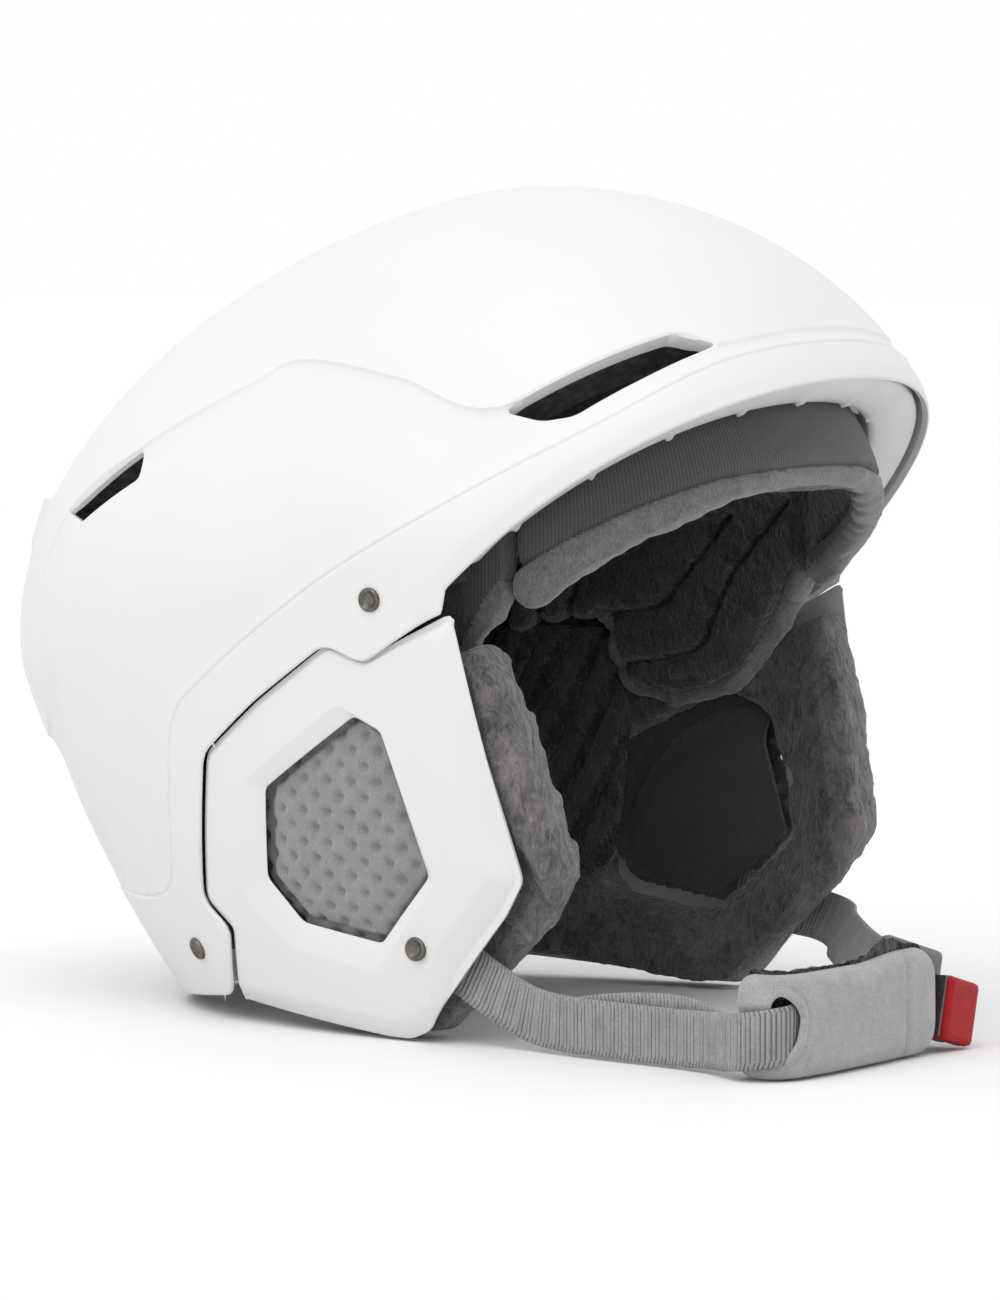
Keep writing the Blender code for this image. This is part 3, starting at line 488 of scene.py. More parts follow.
# ---- materials ----------------------------------------------------------------------------------
class Paint:
    """A Principled material with a few helpers for its node tree."""

    def __init__(self, name, colour, roughness, metallic=0.0, sheen=0.0, coat=0.0):
        self.mat = bpy.data.materials.new(name)
        self.mat.use_nodes = True
        self.nodes = self.mat.node_tree.nodes
        self.links = self.mat.node_tree.links
        self.shader = self.nodes["Principled BSDF"]
        self.colour = colour
        self.set(self.shader, **{"Base Color": (*colour, 1.0), "Roughness": roughness,
                                 "Metallic": metallic, "Sheen Weight": sheen,
                                 "Sheen Roughness": 0.45, "Coat Weight": coat})
        self.place = self.nodes.new("ShaderNodeTexCoord").outputs["Object"]

    @staticmethod
    def set(node, **values):
        """Values of a node's inputs."""
        for key, value in values.items():
            node.inputs[key].default_value = value

    def stretched(self, scale, angles):
        """Object coordinates, turned and stretched."""
        node = self.nodes.new("ShaderNodeMapping")
        self.set(node, Scale=scale, Rotation=angles)
        self.links.new(self.place, node.inputs["Vector"])
        return node.outputs["Vector"]

    def noise(self, scale, detail=3.0, rough=0.6, vector=None, distortion=0.0):
        """Fractal noise."""
        node = self.nodes.new("ShaderNodeTexNoise")
        self.set(node, Scale=scale, Detail=detail, Roughness=rough, Distortion=distortion)
        self.links.new(vector or self.place, node.inputs["Vector"])
        return node.outputs["Fac"]

    def cells(self, scale):
        """Distance from the middle of the nearest cell."""
        node = self.nodes.new("ShaderNodeTexVoronoi")
        self.set(node, Scale=scale)
        self.links.new(self.place, node.inputs["Vector"])
        return node.outputs["Distance"]

    def math(self, operation, *values):
        """Result of a maths node on numbers or sockets."""
        node = self.nodes.new("ShaderNodeMath")
        node.operation = operation
        for socket, value in zip(node.inputs, values):
            if isinstance(value, (int, float)):
                socket.default_value = value
            else:
                self.links.new(value, socket)
        return node.outputs[0]

    def ramp(self, value, stops):
        """Colour between two stops, each a value and a colour."""
        node = self.nodes.new("ShaderNodeValToRGB")
        for element, (at, colour) in zip(node.color_ramp.elements, stops):
            element.position = at
            element.color = (*colour, 1.0)
        self.links.new(value, node.inputs["Fac"])
        return node.outputs["Color"]

    def shades(self, value, dark, light, low=0.35, high=0.65):
        """Base colour that runs between two shades of the colour."""
        stops = [(at, tuple(c * f for c in self.colour)) for at, f in ((low, dark), (high, light))]
        self.links.new(self.ramp(value, stops), self.shader.inputs["Base Color"])

    def roughness(self, value, low, high):
        """Roughness that follows a value."""
        ramp = self.ramp(value, [(0.3, (low,) * 3), (0.7, (high,) * 3)])
        self.links.new(ramp, self.shader.inputs["Roughness"])

    def bump(self, height, distance, strength=1.0):
        """Adds a layer of bump, on top of those added before."""
        node = self.nodes.new("ShaderNodeBump")
        self.set(node, Strength=strength, Distance=distance)
        self.links.new(height, node.inputs["Height"])
        socket = self.shader.inputs["Normal"]
        if socket.is_linked:
            self.links.new(socket.links[0].from_socket, node.inputs["Normal"])
        self.links.new(node.outputs["Normal"], socket)


    def blend(self, first, share, second):
        """Sum of two values, a share of the first and the rest of the second."""
        rest = self.math("MULTIPLY", second, 1.0 - share)
        return self.math("ADD", self.math("MULTIPLY", first, share), rest)


def hard(name, colour, roughness, tone, gloss, grain, metallic=0.0):
    """Plastic or metal. Tone, gloss and grain: a noise, then its limits, or its depth and strength."""
    p = Paint(name, colour, roughness, metallic)
    p.shades(p.noise(*tone[0]), *tone[1])
    p.roughness(p.noise(*gloss[0]), *gloss[1])
    p.bump(p.noise(*grain[0]), *grain[1])
    return p


def bead_foam():
    """Foam of pressed beads."""
    p = Paint("bead_foam", (0.045, 0.045, 0.048), 0.85)
    cells = p.cells(330.0)
    p.shades(cells, 1.5, 0.6, 0.1, 0.7)
    p.roughness(p.noise(400.0), 0.75, 0.95)
    p.bump(cells, 0.0004, 0.6)
    return p.mat


def suede(name, colour):
    """Soft napped fabric."""
    p = Paint(name, colour, 0.92, sheen=0.35)
    fine = p.noise(2400.0, 4.0, 0.75)
    p.shades(p.blend(fine, 0.75, p.noise(160.0, 3.0)), 0.72, 1.25, 0.36, 0.64)
    p.roughness(p.noise(700.0), 0.85, 1.0)
    p.bump(fine, 0.00025, 0.6)
    p.bump(p.noise(320.0, 3.0), 0.0004, 0.3)
    return p.mat


def plush(name, colour, tips=1.9):
    """Short pile with tufts: long fine streaks, lighter at the tips."""
    p = Paint(name, colour, 0.95, sheen=0.5)
    waves = p.noise(95.0, 3.0, 0.55)
    lie = p.stretched((1.0, 0.55, 0.34), (0.35, 0.25, 0.2))
    strands = p.noise(1500.0, 4.0, 0.7, lie, 0.8)
    tufts = p.noise(430.0, 4.0, 0.6, lie, 1.5)
    mixed = p.math("ADD", p.math("MULTIPLY", tufts, 0.44),
                   p.math("ADD", p.math("MULTIPLY", strands, 0.30), p.math("MULTIPLY", waves, 0.26)))
    p.shades(mixed, 0.22, tips, 0.38, 0.64)
    p.roughness(strands, 0.85, 1.0)
    p.bump(tufts, 0.0026, 0.9)
    p.bump(strands, 0.0006, 0.8)
    return p.mat


def knit():
    """Fine ribbed knit: ribs that run from the brim inward, all round the head."""
    p = Paint("ribbed_knit", (0.050, 0.051, 0.053), 0.9, sheen=0.25)
    split = p.nodes.new("ShaderNodeSeparateXYZ")
    p.links.new(p.place, split.inputs[0])
    x, y = split.outputs[:2]
    angle = p.math("ARCTAN2", x, p.math("SUBTRACT", 0.02, y))
    ribs = p.math("SINE", p.math("MULTIPLY", angle, 760.0))
    fine = p.noise(1900.0, 4.0, 0.7)
    height = p.math("ADD", p.math("MULTIPLY", ribs, 0.14), p.math("MULTIPLY", fine, 0.9))
    p.shades(height, 0.5, 1.9, 0.15, 0.75)
    p.roughness(fine, 0.8, 1.0)
    p.bump(height, 0.00035, 0.8)
    return p.mat


def pile():
    """Short even pile."""
    p = Paint("short_pile", (0.115, 0.115, 0.12), 0.95, sheen=0.5)
    lie = p.stretched((1.0, 1.0, 0.5), (0.3, 0.5, 0.0))
    fine = p.noise(1700.0, 4.0, 0.7, lie)
    p.shades(p.blend(fine, 0.7, p.noise(240.0)), 0.6, 1.5, 0.36, 0.64)
    p.roughness(fine, 0.85, 1.0)
    p.bump(fine, 0.0004, 0.7)
    return p.mat


def webbing_yarn(name, colour):
    """Woven yarn of the straps."""
    p = Paint(name, colour, 0.72, sheen=0.25)
    yarn = p.noise(2600.0, 3.0, 0.65)
    p.shades(p.blend(yarn, 0.7, p.noise(130.0)), 0.7, 1.3, 0.36, 0.64)
    p.roughness(yarn, 0.6, 0.85)
    p.bump(yarn, 0.00015, 0.6)
    return p.mat


def floor_paint():
    """Pale floor."""
    p = Paint("studio_floor", (0.79, 0.79, 0.79), 0.9)
    p.shades(p.noise(3.0), 0.995, 1.0)
    return p.mat


WHITE = hard("matt_white_shell", (0.68, 0.677, 0.674), 0.48, ((28.0, 4.0), (0.985, 1.0)),
             ((90.0, 3.0), (0.44, 0.54)), ((2600.0, 2.0), (0.00003, 0.35))).mat
TRIM = hard("pale_ribbed_trim", (0.66, 0.665, 0.67), 0.55, ((60.0, 4.0), (0.95, 1.02)),
            ((150.0,), (0.5, 0.65)), ((1800.0, 2.0), (0.00005, 0.4))).mat
FOAM = bead_foam()
DARK = hard("dark_moulded_plastic", (0.06, 0.06, 0.065), 0.45, ((120.0,), (0.85, 1.1)),
            ((300.0,), (0.4, 0.55)), ((3200.0, 2.0), (0.00003, 0.6))).mat
GREY = hard("grey_moulded_plastic", (0.13, 0.13, 0.13), 0.45, ((120.0,), (0.88, 1.1)),
            ((300.0,), (0.42, 0.56)), ((3200.0, 2.0), (0.00003, 0.6))).mat
NICKEL = hard("dark_nickel", (0.16, 0.15, 0.14), 0.34, ((500.0, 5.0), (0.7, 1.15)),
              ((1500.0, 4.0), (0.25, 0.5)), ((4000.0,), (0.00002, 0.5)), metallic=1.0).mat
RED_PAINT = hard("red_moulded_plastic", (0.33, 0.004, 0.007), 0.42, ((220.0, 4.0), (0.9, 1.08)),
                 ((900.0,), (0.36, 0.5)), ((3500.0, 2.0), (0.00004, 0.6)))
RED_PAINT.set(RED_PAINT.shader, **{"Specular IOR Level": 0.2})
SUEDE = suede("grey_suede", (0.235, 0.235, 0.24))
SUEDE_LIGHT = suede("light_suede", (0.31, 0.31, 0.315))
SUEDE_DARK = suede("dark_suede", (0.050, 0.049, 0.049))
FUR_BACK = plush("sleeve_plush", (0.05, 0.05, 0.05), 2.0)
FUR_DARK = plush("dark_plush", (0.026, 0.023, 0.023), 2.6)
# Nearly black plush for the faces along sewn grooves and seams: painted shade in the channels.
FUR_SHADE = plush("plush_furrow_painted_shade", (0.006, 0.005, 0.005), 1.6)
FUR_EAR = plush("warm_plush", (0.075, 0.068, 0.066), 2.0)
FUR_ROLL = plush("ear_roll_plush", (0.14, 0.13, 0.13), 1.6)
KNIT = knit()
PILE = pile()
YARN = webbing_yarn("ribbed_webbing", (0.255, 0.255, 0.26))
# Darker copy of the webbing yarn for the faces in the furrows between ribs: painted shade.
YARN_SHADE = webbing_yarn("webbing_furrow_painted_shade", (0.105, 0.105, 0.108))


# ---- shell ----------------------------------------------------------------------------------------
# Lines that part the raised crown, the side panel and the edge band: (x, y, z) mm on the right side.
CROWN_LINE = [(0, -112.5, 198.3), (-10, -112, 198), (-45, -105, 194), (-54, -96, 197), (-91, -64, 177),
              (-88, -30, 182.5), (-84, 9, 189), (-85, 26, 182), (-82, 68, 163), (-74, 101, 144),
              (-68, 112, 112), (-62, 118, 82), (-40, 132, 76), (0, 146, 74)]
BAND_LINE = [(0, -116.2, 194.2), (-39, -111, 191), (-56, -105, 186), (-83, -88, 171), (-102, -55, 151),
             (-105, -10, 126.5), (-100, 32, 99), (-96, 46, 87), (-89, 52, 66), (-80, 58, 43),
             (-72, 69, 34), (-46, 104, 33), (-20, 117, 33), (0, 120, 33)]
FRONT_VENT = [(-91, -65, 176), (-54, -96, 197), (-45, -105, 194), (-66, -96, 186), (-83, -83, 175),
              (-88.5, -76, 174)]
REAR_VENT = [(-83, 67, 163), (-87, 67, 155.5), (-79.5, 94, 142), (-74, 101, 144)]
LIP_RADIUS = 0.0008
SHELL_RESOLUTION = 84
FOAM_RESOLUTION = 40
NAPE_RESOLUTION = 60
FRONT_VENT_WALL = 0.0048
REAR_VENT_WALL = 0.0016
MOST_PROUD = 0.0006
LEAST_HEIGHT = 0.0006


def bearings(points):
    """Angle round the head from the front, and angle above the body's centre."""
    x, y, z = (points - CENTRE).T
    return np.arctan2(np.abs(x), -y), np.arctan2(z, np.hypot(x, y))


def line_field(line):
    """Distance above a line that runs from the front to the rear of the shell."""
    around, up = bearings(smooth_route([tuple(c * MM for c in p) for p in line], 6))
    around[-1] = math.pi
    slope = np.gradient(up, around)

    def field(points):
        a, u = bearings(points)
        steep = np.interp(a, around, slope) / np.cos(u)
        reach = np.linalg.norm(points - CENTRE, axis=1)
        return (u - np.interp(a, around, up)) * reach / np.sqrt(1.0 + steep * steep)
    return field


def vent_frame(outline, side):
    """Middle, axes and flat outline of a vent on one side."""
    corners = np.array(outline) * MM * (-side, 1.0, 1.0)
    corners = on_body(corners)
    middle = on_body(corners.mean(0)[None])[0]
    normal = body_normals(body_directions(middle[None]))[0]
    along = corners[1] - corners[0]
    along -= normal * (along @ normal)
    along /= np.linalg.norm(along)
    axes = np.stack((along, np.cross(normal, along), normal), 1)
    return middle, axes, ((corners - middle) @ axes)[:, :2]


def vent_field(margin=0.0):
    """Distance from the nearest vent, negative inside it."""
    shapes = []
    for side in (-1.0, 1.0):
        for outline, radius in ((FRONT_VENT, 0.0025), (REAR_VENT, 0.001)):
            middle, axes, flat = vent_frame(outline, side)
            shapes.append((middle, axes, rounded(flat, radius)))

    def field(points):
        best = np.full(len(points), 0.05)
        for middle, axes, flat in shapes:
            local = (points - middle) @ axes
            near = (np.abs(local[:, 2]) < 0.03) & (np.abs(local[:, :2]).max(1) < 0.05)
            if near.any():
                best[near] = np.minimum(best[near], -inside_distance(local[near][:, :2], flat))
        return best - margin
    return field


crown_field = line_field(CROWN_LINE)
band_field = line_field(BAND_LINE)
vents = vent_field()
shell_edge = below(SHELL_EDGE, 0.0)


def edge_field(points):
    """Distance above the shell's lower edge."""
    return -inside_distance(points[:, 1:], shell_edge)


def shell_depth(points):
    """Relief of the shell: a scooped side panel, a proud edge band, a rounded lip."""
    crown, band, edge, vent = [f(points) for f in (crown_field, band_field, edge_field, vents)]
    down = np.maximum(-crown, 0.0) / MM
    around = bearings(points)[0]
    strength = 0.35 + 0.65 * smoothstep((around - 0.5) / 0.4)
    panel = 0.30 * smoothstep(down / 0.7) + 1.35 * strength * (down / 7.0) * np.exp(1.0 - down / 7.0)
    panel *= smoothstep(band / MM / 4.0)
    groove = np.interp(band / MM, (-0.5, -0.15, 0.2, 0.55, 0.9), (0.0, 0.25, 0.55, 0.3, 0.0))
    proud = np.interp(band / MM, (-0.5, 0.9), (-0.35, 0.0))
    from_lip = 1.0 - np.minimum(edge / LIP_RADIUS, 1.0)
    round_off = LIP_RADIUS * (1.0 - np.sqrt(np.maximum(0.0, 1.0 - from_lip ** 2)))
    vent_lip = 0.0005 * (1.0 - smoothstep(vent / 0.0007))
    brim = smoothstep((-0.040 - points[:, 1]) / 0.012)
    facet = 0.9 * brim * (1.0 - smoothstep(edge / MM / 5.5))
    return (panel + groove + proud + facet) * MM + round_off + vent_lip


def near_features(points):
    """Where the shell's mesh has to be finer."""
    close = np.abs(vents(points)) < 0.0045
    for field in (crown_field, band_field, edge_field):
        close |= np.abs(field(points)) < 0.0035
    return close


def sink_vent_walls(bm):
    """Walls that go down from the edges of the vents."""
    rims = [e for e in bm.edges if e.is_boundary]
    middles = np.array([((e.verts[0].co + e.verts[1].co) / 2)[:] for e in rims])
    hole = np.abs(vents(middles)) < 0.003
    front = middles[:, 1] < 0.0
    for choice, depth in ((hole & front, FRONT_VENT_WALL), (hole & ~front, REAR_VENT_WALL)):
        made = bmesh.ops.extrude_edge_only(bm, edges=[e for e, c in zip(rims, choice) if c])
        verts = [g for g in made["geom"] if isinstance(g, bmesh.types.BMVert)]
        places = np.array([v.co[:] for v in verts])
        normals = body_normals(body_directions(places))
        for vert, place, normal in zip(verts, places, normals):
            vert.co = place - normal * depth


def build_shell():
    """Outer shell with its raised crown, edge band and vents."""
    def kept(points):
        return np.minimum(edge_field(points), 0.05)

    cuts = [(edge_field, LIP_RADIUS * f) for f in (0.12, 0.4, 1.0)]
    cuts += [(crown_field, 0.0), (crown_field, -0.7 * MM)]
    cuts += [(band_field, d * MM) for d in (-0.5, -0.15, 0.2, 0.55, 0.9)]
    cuts += [(vents, 0.0), (vents, 0.0007)]
    bm = cut_body(SHELL_RESOLUTION, kept, cuts, near_features)
    drop_faces(bm, vents)
    sink(bm, shell_depth)
    sink_vent_walls(bm)
    shell = body_object(bm, "shell", WHITE, SHELL_SHARP_ANGLE)
    thicken(shell, SHELL_THICKNESS)
    points = coordinates(shell.data)
    proud = np.maximum(-MOST_PROUD - depth_below(points), 0.0)
    points -= body_normals(body_directions(points)) * proud[:, None]
    points[:, 2] = np.maximum(points[:, 2], LEAST_HEIGHT)
    set_coordinates(shell.data, points)
    shade(shell.data, SHELL_SHARP_ANGLE)
    finish_piece(shell, "helmet", "white_shell", "outer_shell")


def finish_piece(obj, body, slot_name, *nodes, fill=None):
    """Attaches a piece to the body it rides on and hides the CAD nodes that it stands for; its finish and
    how full it is are not used.
    """
    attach(obj, body)
    if nodes:
        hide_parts(*nodes)


def build_foam():
    """Impact foam under the shell, open at the vents and at the fit system."""
    edge = below(FOAM_EDGE, 0.0141)
    hole = vent_field(0.0026)

    def kept(points):
        return -inside_distance(points[:, 1:], edge)

    def bay(points):
        x, y, z = points.T
        return np.maximum.reduce((np.abs(x) - 0.056, 0.050 - y, z - 0.066))

    def behind_lining(points):
        return np.where(points[:, 1] < -0.072, points[:, 2] - brim_height(points[:, 1], 0.0195), 0.05)

    def both(points):
        return np.minimum.reduce((kept(points), hole(points), bay(points), behind_lining(points)))

    foam = skin("foam_core", FOAM_RESOLUTION, both, lambda p: np.full(len(p), FOAM_DEPTH),
                FOAM_THICKNESS, FOAM)
    finish_piece(foam, "helmet", "grey_foam", "impact_liner")


# ---- ear covers -----------------------------------------------------------------------------------
COVER_SINK = 0.0009
COVER_INNER = 0.00275
WINDOW_DEPTH = 0.0024
LEDGE_WIDTH = 0.0012
COVER_RING = 360


def ray_hits(outline, middle, angles):
    """Where rays from the middle meet a closed outline."""
    a = outline - middle
    b = np.roll(a, -1, axis=0)
    result = np.zeros((len(angles), 2))
    for k, angle in enumerate(angles):
        d = np.array((math.cos(angle), math.sin(angle)))
        cross_a = d[0] * a[:, 1] - d[1] * a[:, 0]
        cross_b = d[0] * b[:, 1] - d[1] * b[:, 0]
        hit = (cross_a * cross_b <= 0.0) & (cross_a != cross_b)
        t = cross_a[hit] / (cross_a[hit] - cross_b[hit])
        reach = ((a[hit] + (b[hit] - a[hit]) * t[:, None]) @ d).max()
        result[k] = d * reach
    return result + middle


def facet_width(points):
    """Width of the bevelled facet inside the cover's outer edge: wide in front and below."""
    y, z = points.T
    front = smoothstep((-0.034 - y) / 0.016) * (0.0045 + 0.0055 * smoothstep((0.105 - z) / 0.05))
    lower = smoothstep((0.012 - z) / 0.008) * 0.0060
    return np.maximum(np.maximum(front, lower), 0.0012)


def outline_normals(outline):
    """Outward directions along a closed outline."""
    along = np.roll(outline, -1, axis=0) - np.roll(outline, 1, axis=0)
    along /= np.linalg.norm(along, axis=1, keepdims=True)
    normals = np.stack((along[:, 1], -along[:, 0]), 1)
    outward = ((outline - outline.mean(0)) * normals).sum() > 0.0
    return normals if outward else -normals


def ledge_width(outline):
    """Width of the low ledge that runs along the seam with the shell."""
    seam = np.array(COVER_OUTLINE[:8])
    away = np.min([line_distance(outline, a, b) for a, b in zip(seam, seam[1:])], axis=0)
    return LEDGE_WIDTH * (1.0 - smoothstep((away - 0.0005) / 0.0015))


def build_cover(side_name, side):
    """Ear cover: a ring between its outline and its window, with facets and a chamfered window."""
    outer = resampled(rounded(COVER_OUTLINE, 0.0022), COVER_RING)
    middle = np.array(WINDOW_MIDDLE)
    angles = np.arctan2(outer[:, 1] - middle[1], outer[:, 0] - middle[0])
    window = ray_hits(rounded(WINDOW, 0.0018), middle, angles)
    chamfer = ray_hits(rounded(WINDOW_CHAMFER, 0.0018), middle, angles)
    across = chamfer - outer
    span = np.linalg.norm(across, axis=1)
    facet = np.minimum(facet_width(outer), 0.8 * span)
    drop = 0.25 * facet
    rings = [(window, COVER_INNER), (window, WINDOW_DEPTH + 0.0001)]
    rings += [(window + (chamfer - window) * t, WINDOW_DEPTH + (COVER_SINK - WINDOW_DEPTH) * t)
              for t in (0.04, 0.35, 0.65, 0.93, 1.0)]
    steps = np.linspace(0.985, 0.0, 9)[:, None] * np.ones(len(outer))
    for share in steps:
        at = facet / span + (1.0 - facet / span) * share
        rings.append((outer + across * at[:, None], COVER_SINK))
    for share in (0.9, 0.5):
        at = facet / span * share
        rings.append((outer + across * at[:, None], COVER_SINK + drop * (1.0 - share)))
    lip = 0.0006 / span
    rings.append((outer + across * lip[:, None], COVER_SINK + drop * 0.95))
    rings.append((outer + across * 0.3 * lip[:, None], COVER_SINK + drop + 0.00015))
    ledge = outer + outline_normals(outer) * ledge_width(outer)[:, None]
    rings.append((outer, COVER_SINK + drop + 0.0005))
    rings.append((ledge, COVER_SINK + drop + 0.0007))
    rings.append((ledge, COVER_INNER))
    points = np.array([side_points(flat[:, 0], flat[:, 1], side, depth) for flat, depth in rings])
    mesh = grid_mesh(f"cover_{side_name}", points, closed_u=True, closed_v=True)
    cover = new_object(f"cover_{side_name}", mesh, [WHITE], 22.0)
    turned_outward(mesh)
    finish_piece(cover, "helmet", "white_shell", f"ear_cover_{side_name}")


DIMPLE_PITCH = (0.0088, 0.0045)
DIMPLE_RADIUS = 0.0014
DIMPLE_SLANT = 0.12
FABRIC_STEP = 0.0006
FABRIC_THICKNESS = 0.0004


def side_grid(low, high, step):
    """Even grid of side-view places, and its shape."""
    y, z = np.meshgrid(np.arange(low[0], high[0], step), np.arange(low[1], high[1], step))
    return np.stack((y.ravel(), z.ravel()), 1), y.shape


def build_ear_fabric(side_name, side):
    """Dimpled suede that shows in the cover's window."""
    flat, shape = side_grid((-0.0475, 0.0215), (0.0235, 0.0965), FABRIC_STEP)
    inside = inside_distance(flat, rounded(WINDOW, 0.002))
    dimple = np.exp(-(from_dot(flat, DIMPLE_PITCH, DIMPLE_SLANT) / DIMPLE_RADIUS) ** 2)
    sunk = 0.0046 - 0.0012 * smoothstep(inside / 0.010) + 0.0019 * dimple
    sunk += 0.0014 * (1.0 - smoothstep((inside - 0.0004) / 0.0014))
    sunk += 0.0002 * value_noise(np.column_stack((flat, flat[:, 0])), 0.007)
    points = side_points(flat[:, 0], flat[:, 1], side, sunk)
    mesh = grid_mesh(f"ear_fabric_{side_name}", points.reshape(*shape, 3))
    fabric = new_object(f"ear_fabric_{side_name}", mesh, [SUEDE])
    without(mesh, inside < -0.0035)
    if side * vertex_normals(mesh)[:, 0].mean() < 0.0:
        mesh.flip_normals()
    thicken(fabric, FABRIC_THICKNESS)
    finish_piece(fabric, "helmet", "grey_fabric", f"ear_mesh_{side_name}")


# ---- rivets ---------------------------------------------------------------------------------------
RIVET_PLACES = {"temple": (-0.031, 0.124), "rear": (0.054, 0.020), "ear": (-0.036, 0.027)}
STRAP_PLANE = 0.0820


def lathe(name, profile, place, axis, mats, steps=40):
    """Body of revolution from (radius, height) pairs."""
    turn = Vector(axis).to_track_quat("Z", "Y").to_matrix()
    angles = np.linspace(0.0, 2.0 * math.pi, steps, endpoint=False)
    profile = np.array(profile)
    ring = np.stack((np.cos(angles), np.sin(angles), np.ones(steps)), 1)
    points = np.array([ring * (r, r, h) for r, h in profile]) @ np.array(turn).T + np.array(place)
    mesh = grid_mesh(name, points, closed_v=True)
    bm = bmesh.new()
    bm.from_mesh(mesh)
    bmesh.ops.remove_doubles(bm, verts=bm.verts[:], dist=1e-6)
    bmesh.ops.recalc_face_normals(bm, faces=bm.faces[:])
    bm.to_mesh(mesh)
    bm.free()
    return new_object(name, mesh, mats, 35.0)


def build_rivets(side_name, side):
    """Hollow rivets: a rolled lip round a sunk middle."""
    top = [(0.0, 0.0), (0.0013, 0.0), (0.0018, 0.0001), (0.0022, 0.0005), (0.0026, 0.0008),
           (0.0030, 0.0008), (0.0033, 0.0005), (0.0034, 0.0001), (0.0033, -0.0009), (0.0019, -0.0011)]
    for place_name, (y, z) in RIVET_PLACES.items():
        point = side_points([y], [z], side)
        normal = body_normals(body_directions(point))[0]
        name = f"hollow_rivet_{place_name}_{side_name}"
        if place_name == "ear":
            axis = np.array((side, 0.0, 0.0))
            place = point[0] - axis * 0.0006
            reach = abs(point[0][0]) - STRAP_PLANE + 0.0019
            tail = [(0.0019, -reach), (0.0033, -reach), (0.0033, -reach - 0.0007), (0.0, -reach - 0.0009)]
        else:
            axis = normal
            place = point[0] + normal * 0.0005
            tail = [(0.0019, -0.007), (0.0, -0.007)]
        rivet = lathe(name, top + tail, place, axis, [NICKEL])
        finish_piece(rivet, "helmet", "dark_nickel", f"rivet_{place_name}_{side_name}")


# ---- brim lining --------------------------------------------------------------------------------------
BRIM_HALF_ANGLE = math.radians(67.0)
RIB_PITCH = 0.0290
TRAY_PROFILE = [(0.0036, 0.0052), (0.0037, 0.0036), (0.0042, 0.0029), (0.0056, 0.0026), (0.0090, 0.0026),
                (0.0130, 0.0028), (0.0165, 0.0033), (0.0184, 0.0042), (0.0189, 0.0056),
                (0.0189, 0.0132), (0.0180, 0.0134), (0.0036, 0.0134)]


def brim_points(angles, lift, depth):
    """Places on the line that runs a lift above the brim's edge, at a depth under the surface."""
    low, high = np.full(len(angles), -0.6), np.full(len(angles), 1.1)
    for _ in range(26):
        up = 0.5 * (low + high)
        out = np.stack((-np.sin(angles), -np.cos(angles), np.tan(up)), 1)
        p = on_body(CENTRE + out * 0.11)
        under = p[:, 2] < brim_height(p[:, 1], lift)
        low, high = np.where(under, up, low), np.where(under, high, up)
    return p - body_normals(body_directions(p)) * depth


def build_brim_lining():
    """Pale ribbed lining under the brim, between the shell's lip and the forehead pad."""
    angles = np.linspace(-BRIM_HALF_ANGLE, BRIM_HALF_ANGLE, 620)
    lip = brim_points(angles, 0.003, 0.004)
    rib = 0.0010 * (1.0 - smoothstep((from_stripe(distance_walked(lip), RIB_PITCH) - 0.0003) / 0.0014))
    rows = []
    for depth, lift in TRAY_PROFILE:
        share = smoothstep((depth - 0.0125) / 0.002) * (lift < 0.005)
        rows.append(brim_points(angles, lift, depth) - np.array((0.0, 0.0, 1.0)) * (rib * share)[:, None])
    mesh = grid_mesh("brim_lining", np.array(rows), closed_u=True)
    turned_outward(mesh, fill=True)
    lining = new_object("brim_lining", mesh, [TRIM], 50.0)
    finish_piece(lining, "helmet", "pale_trim", "brim_insert")


# ---- soft pads ----------------------------------------------------------------------------------------
VOXEL = 0.0032
PAD_LEVELS = 2
CLOTH_FRAMES = 20
CLOTH_PRESSURE = 3.0
CLOTH_CAP = 0.0025
EAR_CLOTH_CAP = 0.003


def grown(node, name, mats, cap=CLOTH_CAP):
    """Soft copy of a CAD solid: remeshed, blown up a little like cloth over foam, then refined."""
    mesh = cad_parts[node].data.copy()
    mesh.transform(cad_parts[node].matrix_world)
    mesh.materials.clear()
    obj = new_object(name, mesh, mats)
    remesh = obj.modifiers.new("Remesh", "REMESH")
    remesh.mode = "VOXEL"
    remesh.voxel_size = VOXEL
    soft = obj.modifiers.new("Smooth", "SMOOTH")
    soft.factor = 0.5
    soft.iterations = 5
    applied(obj)
    swell(obj, cap)
    fine = obj.modifiers.new("Subdivision", "SUBSURF")
    fine.levels = PAD_LEVELS
    fine.render_levels = PAD_LEVELS
    applied(obj)
    return obj


def swell(obj, cap):
    """Cloth under pressure for a few frames, with each point's way capped."""
    before = coordinates(obj.data)
    cloth = obj.modifiers.new("Cloth", "CLOTH")
    cloth.settings.use_pressure = True
    cloth.settings.uniform_pressure_force = CLOTH_PRESSURE
    cloth.settings.effector_weights.gravity = 0.0
    scene = bpy.context.scene
    for number in range(1, CLOTH_FRAMES + 1):
        scene.frame_set(number)
    applied(obj)
    scene.frame_set(1)
    moved = coordinates(obj.data) - before
    length = np.linalg.norm(moved, axis=1, keepdims=True)
    set_coordinates(obj.data, before + moved * np.minimum(1.0, cap / np.maximum(length, 1e-9)))


def shaped(obj, relief, least_depth=PAD_DEPTH + 0.0002):
    """Raises and sinks a pad's surface, and keeps it clear of the layer outside it."""
    points = coordinates(obj.data)
    points = points + vertex_normals(obj.data) * relief(points)[:, None]
    short = np.maximum(least_depth - depth_below(points), 0.0)
    points -= body_normals(body_directions(points)) * short[:, None]
    set_coordinates(obj.data, points)
    obj.data.shade_smooth()


def pile_relief(points, height, pitch=0.0022):
    """Tufted surface of a pile fabric."""
    return height * (0.6 * value_noise(points, pitch, 1) + 0.4 * value_noise(points, 0.45 * pitch, 2)
                     + 0.8 * value_noise(points, 6.0 * pitch, 3))


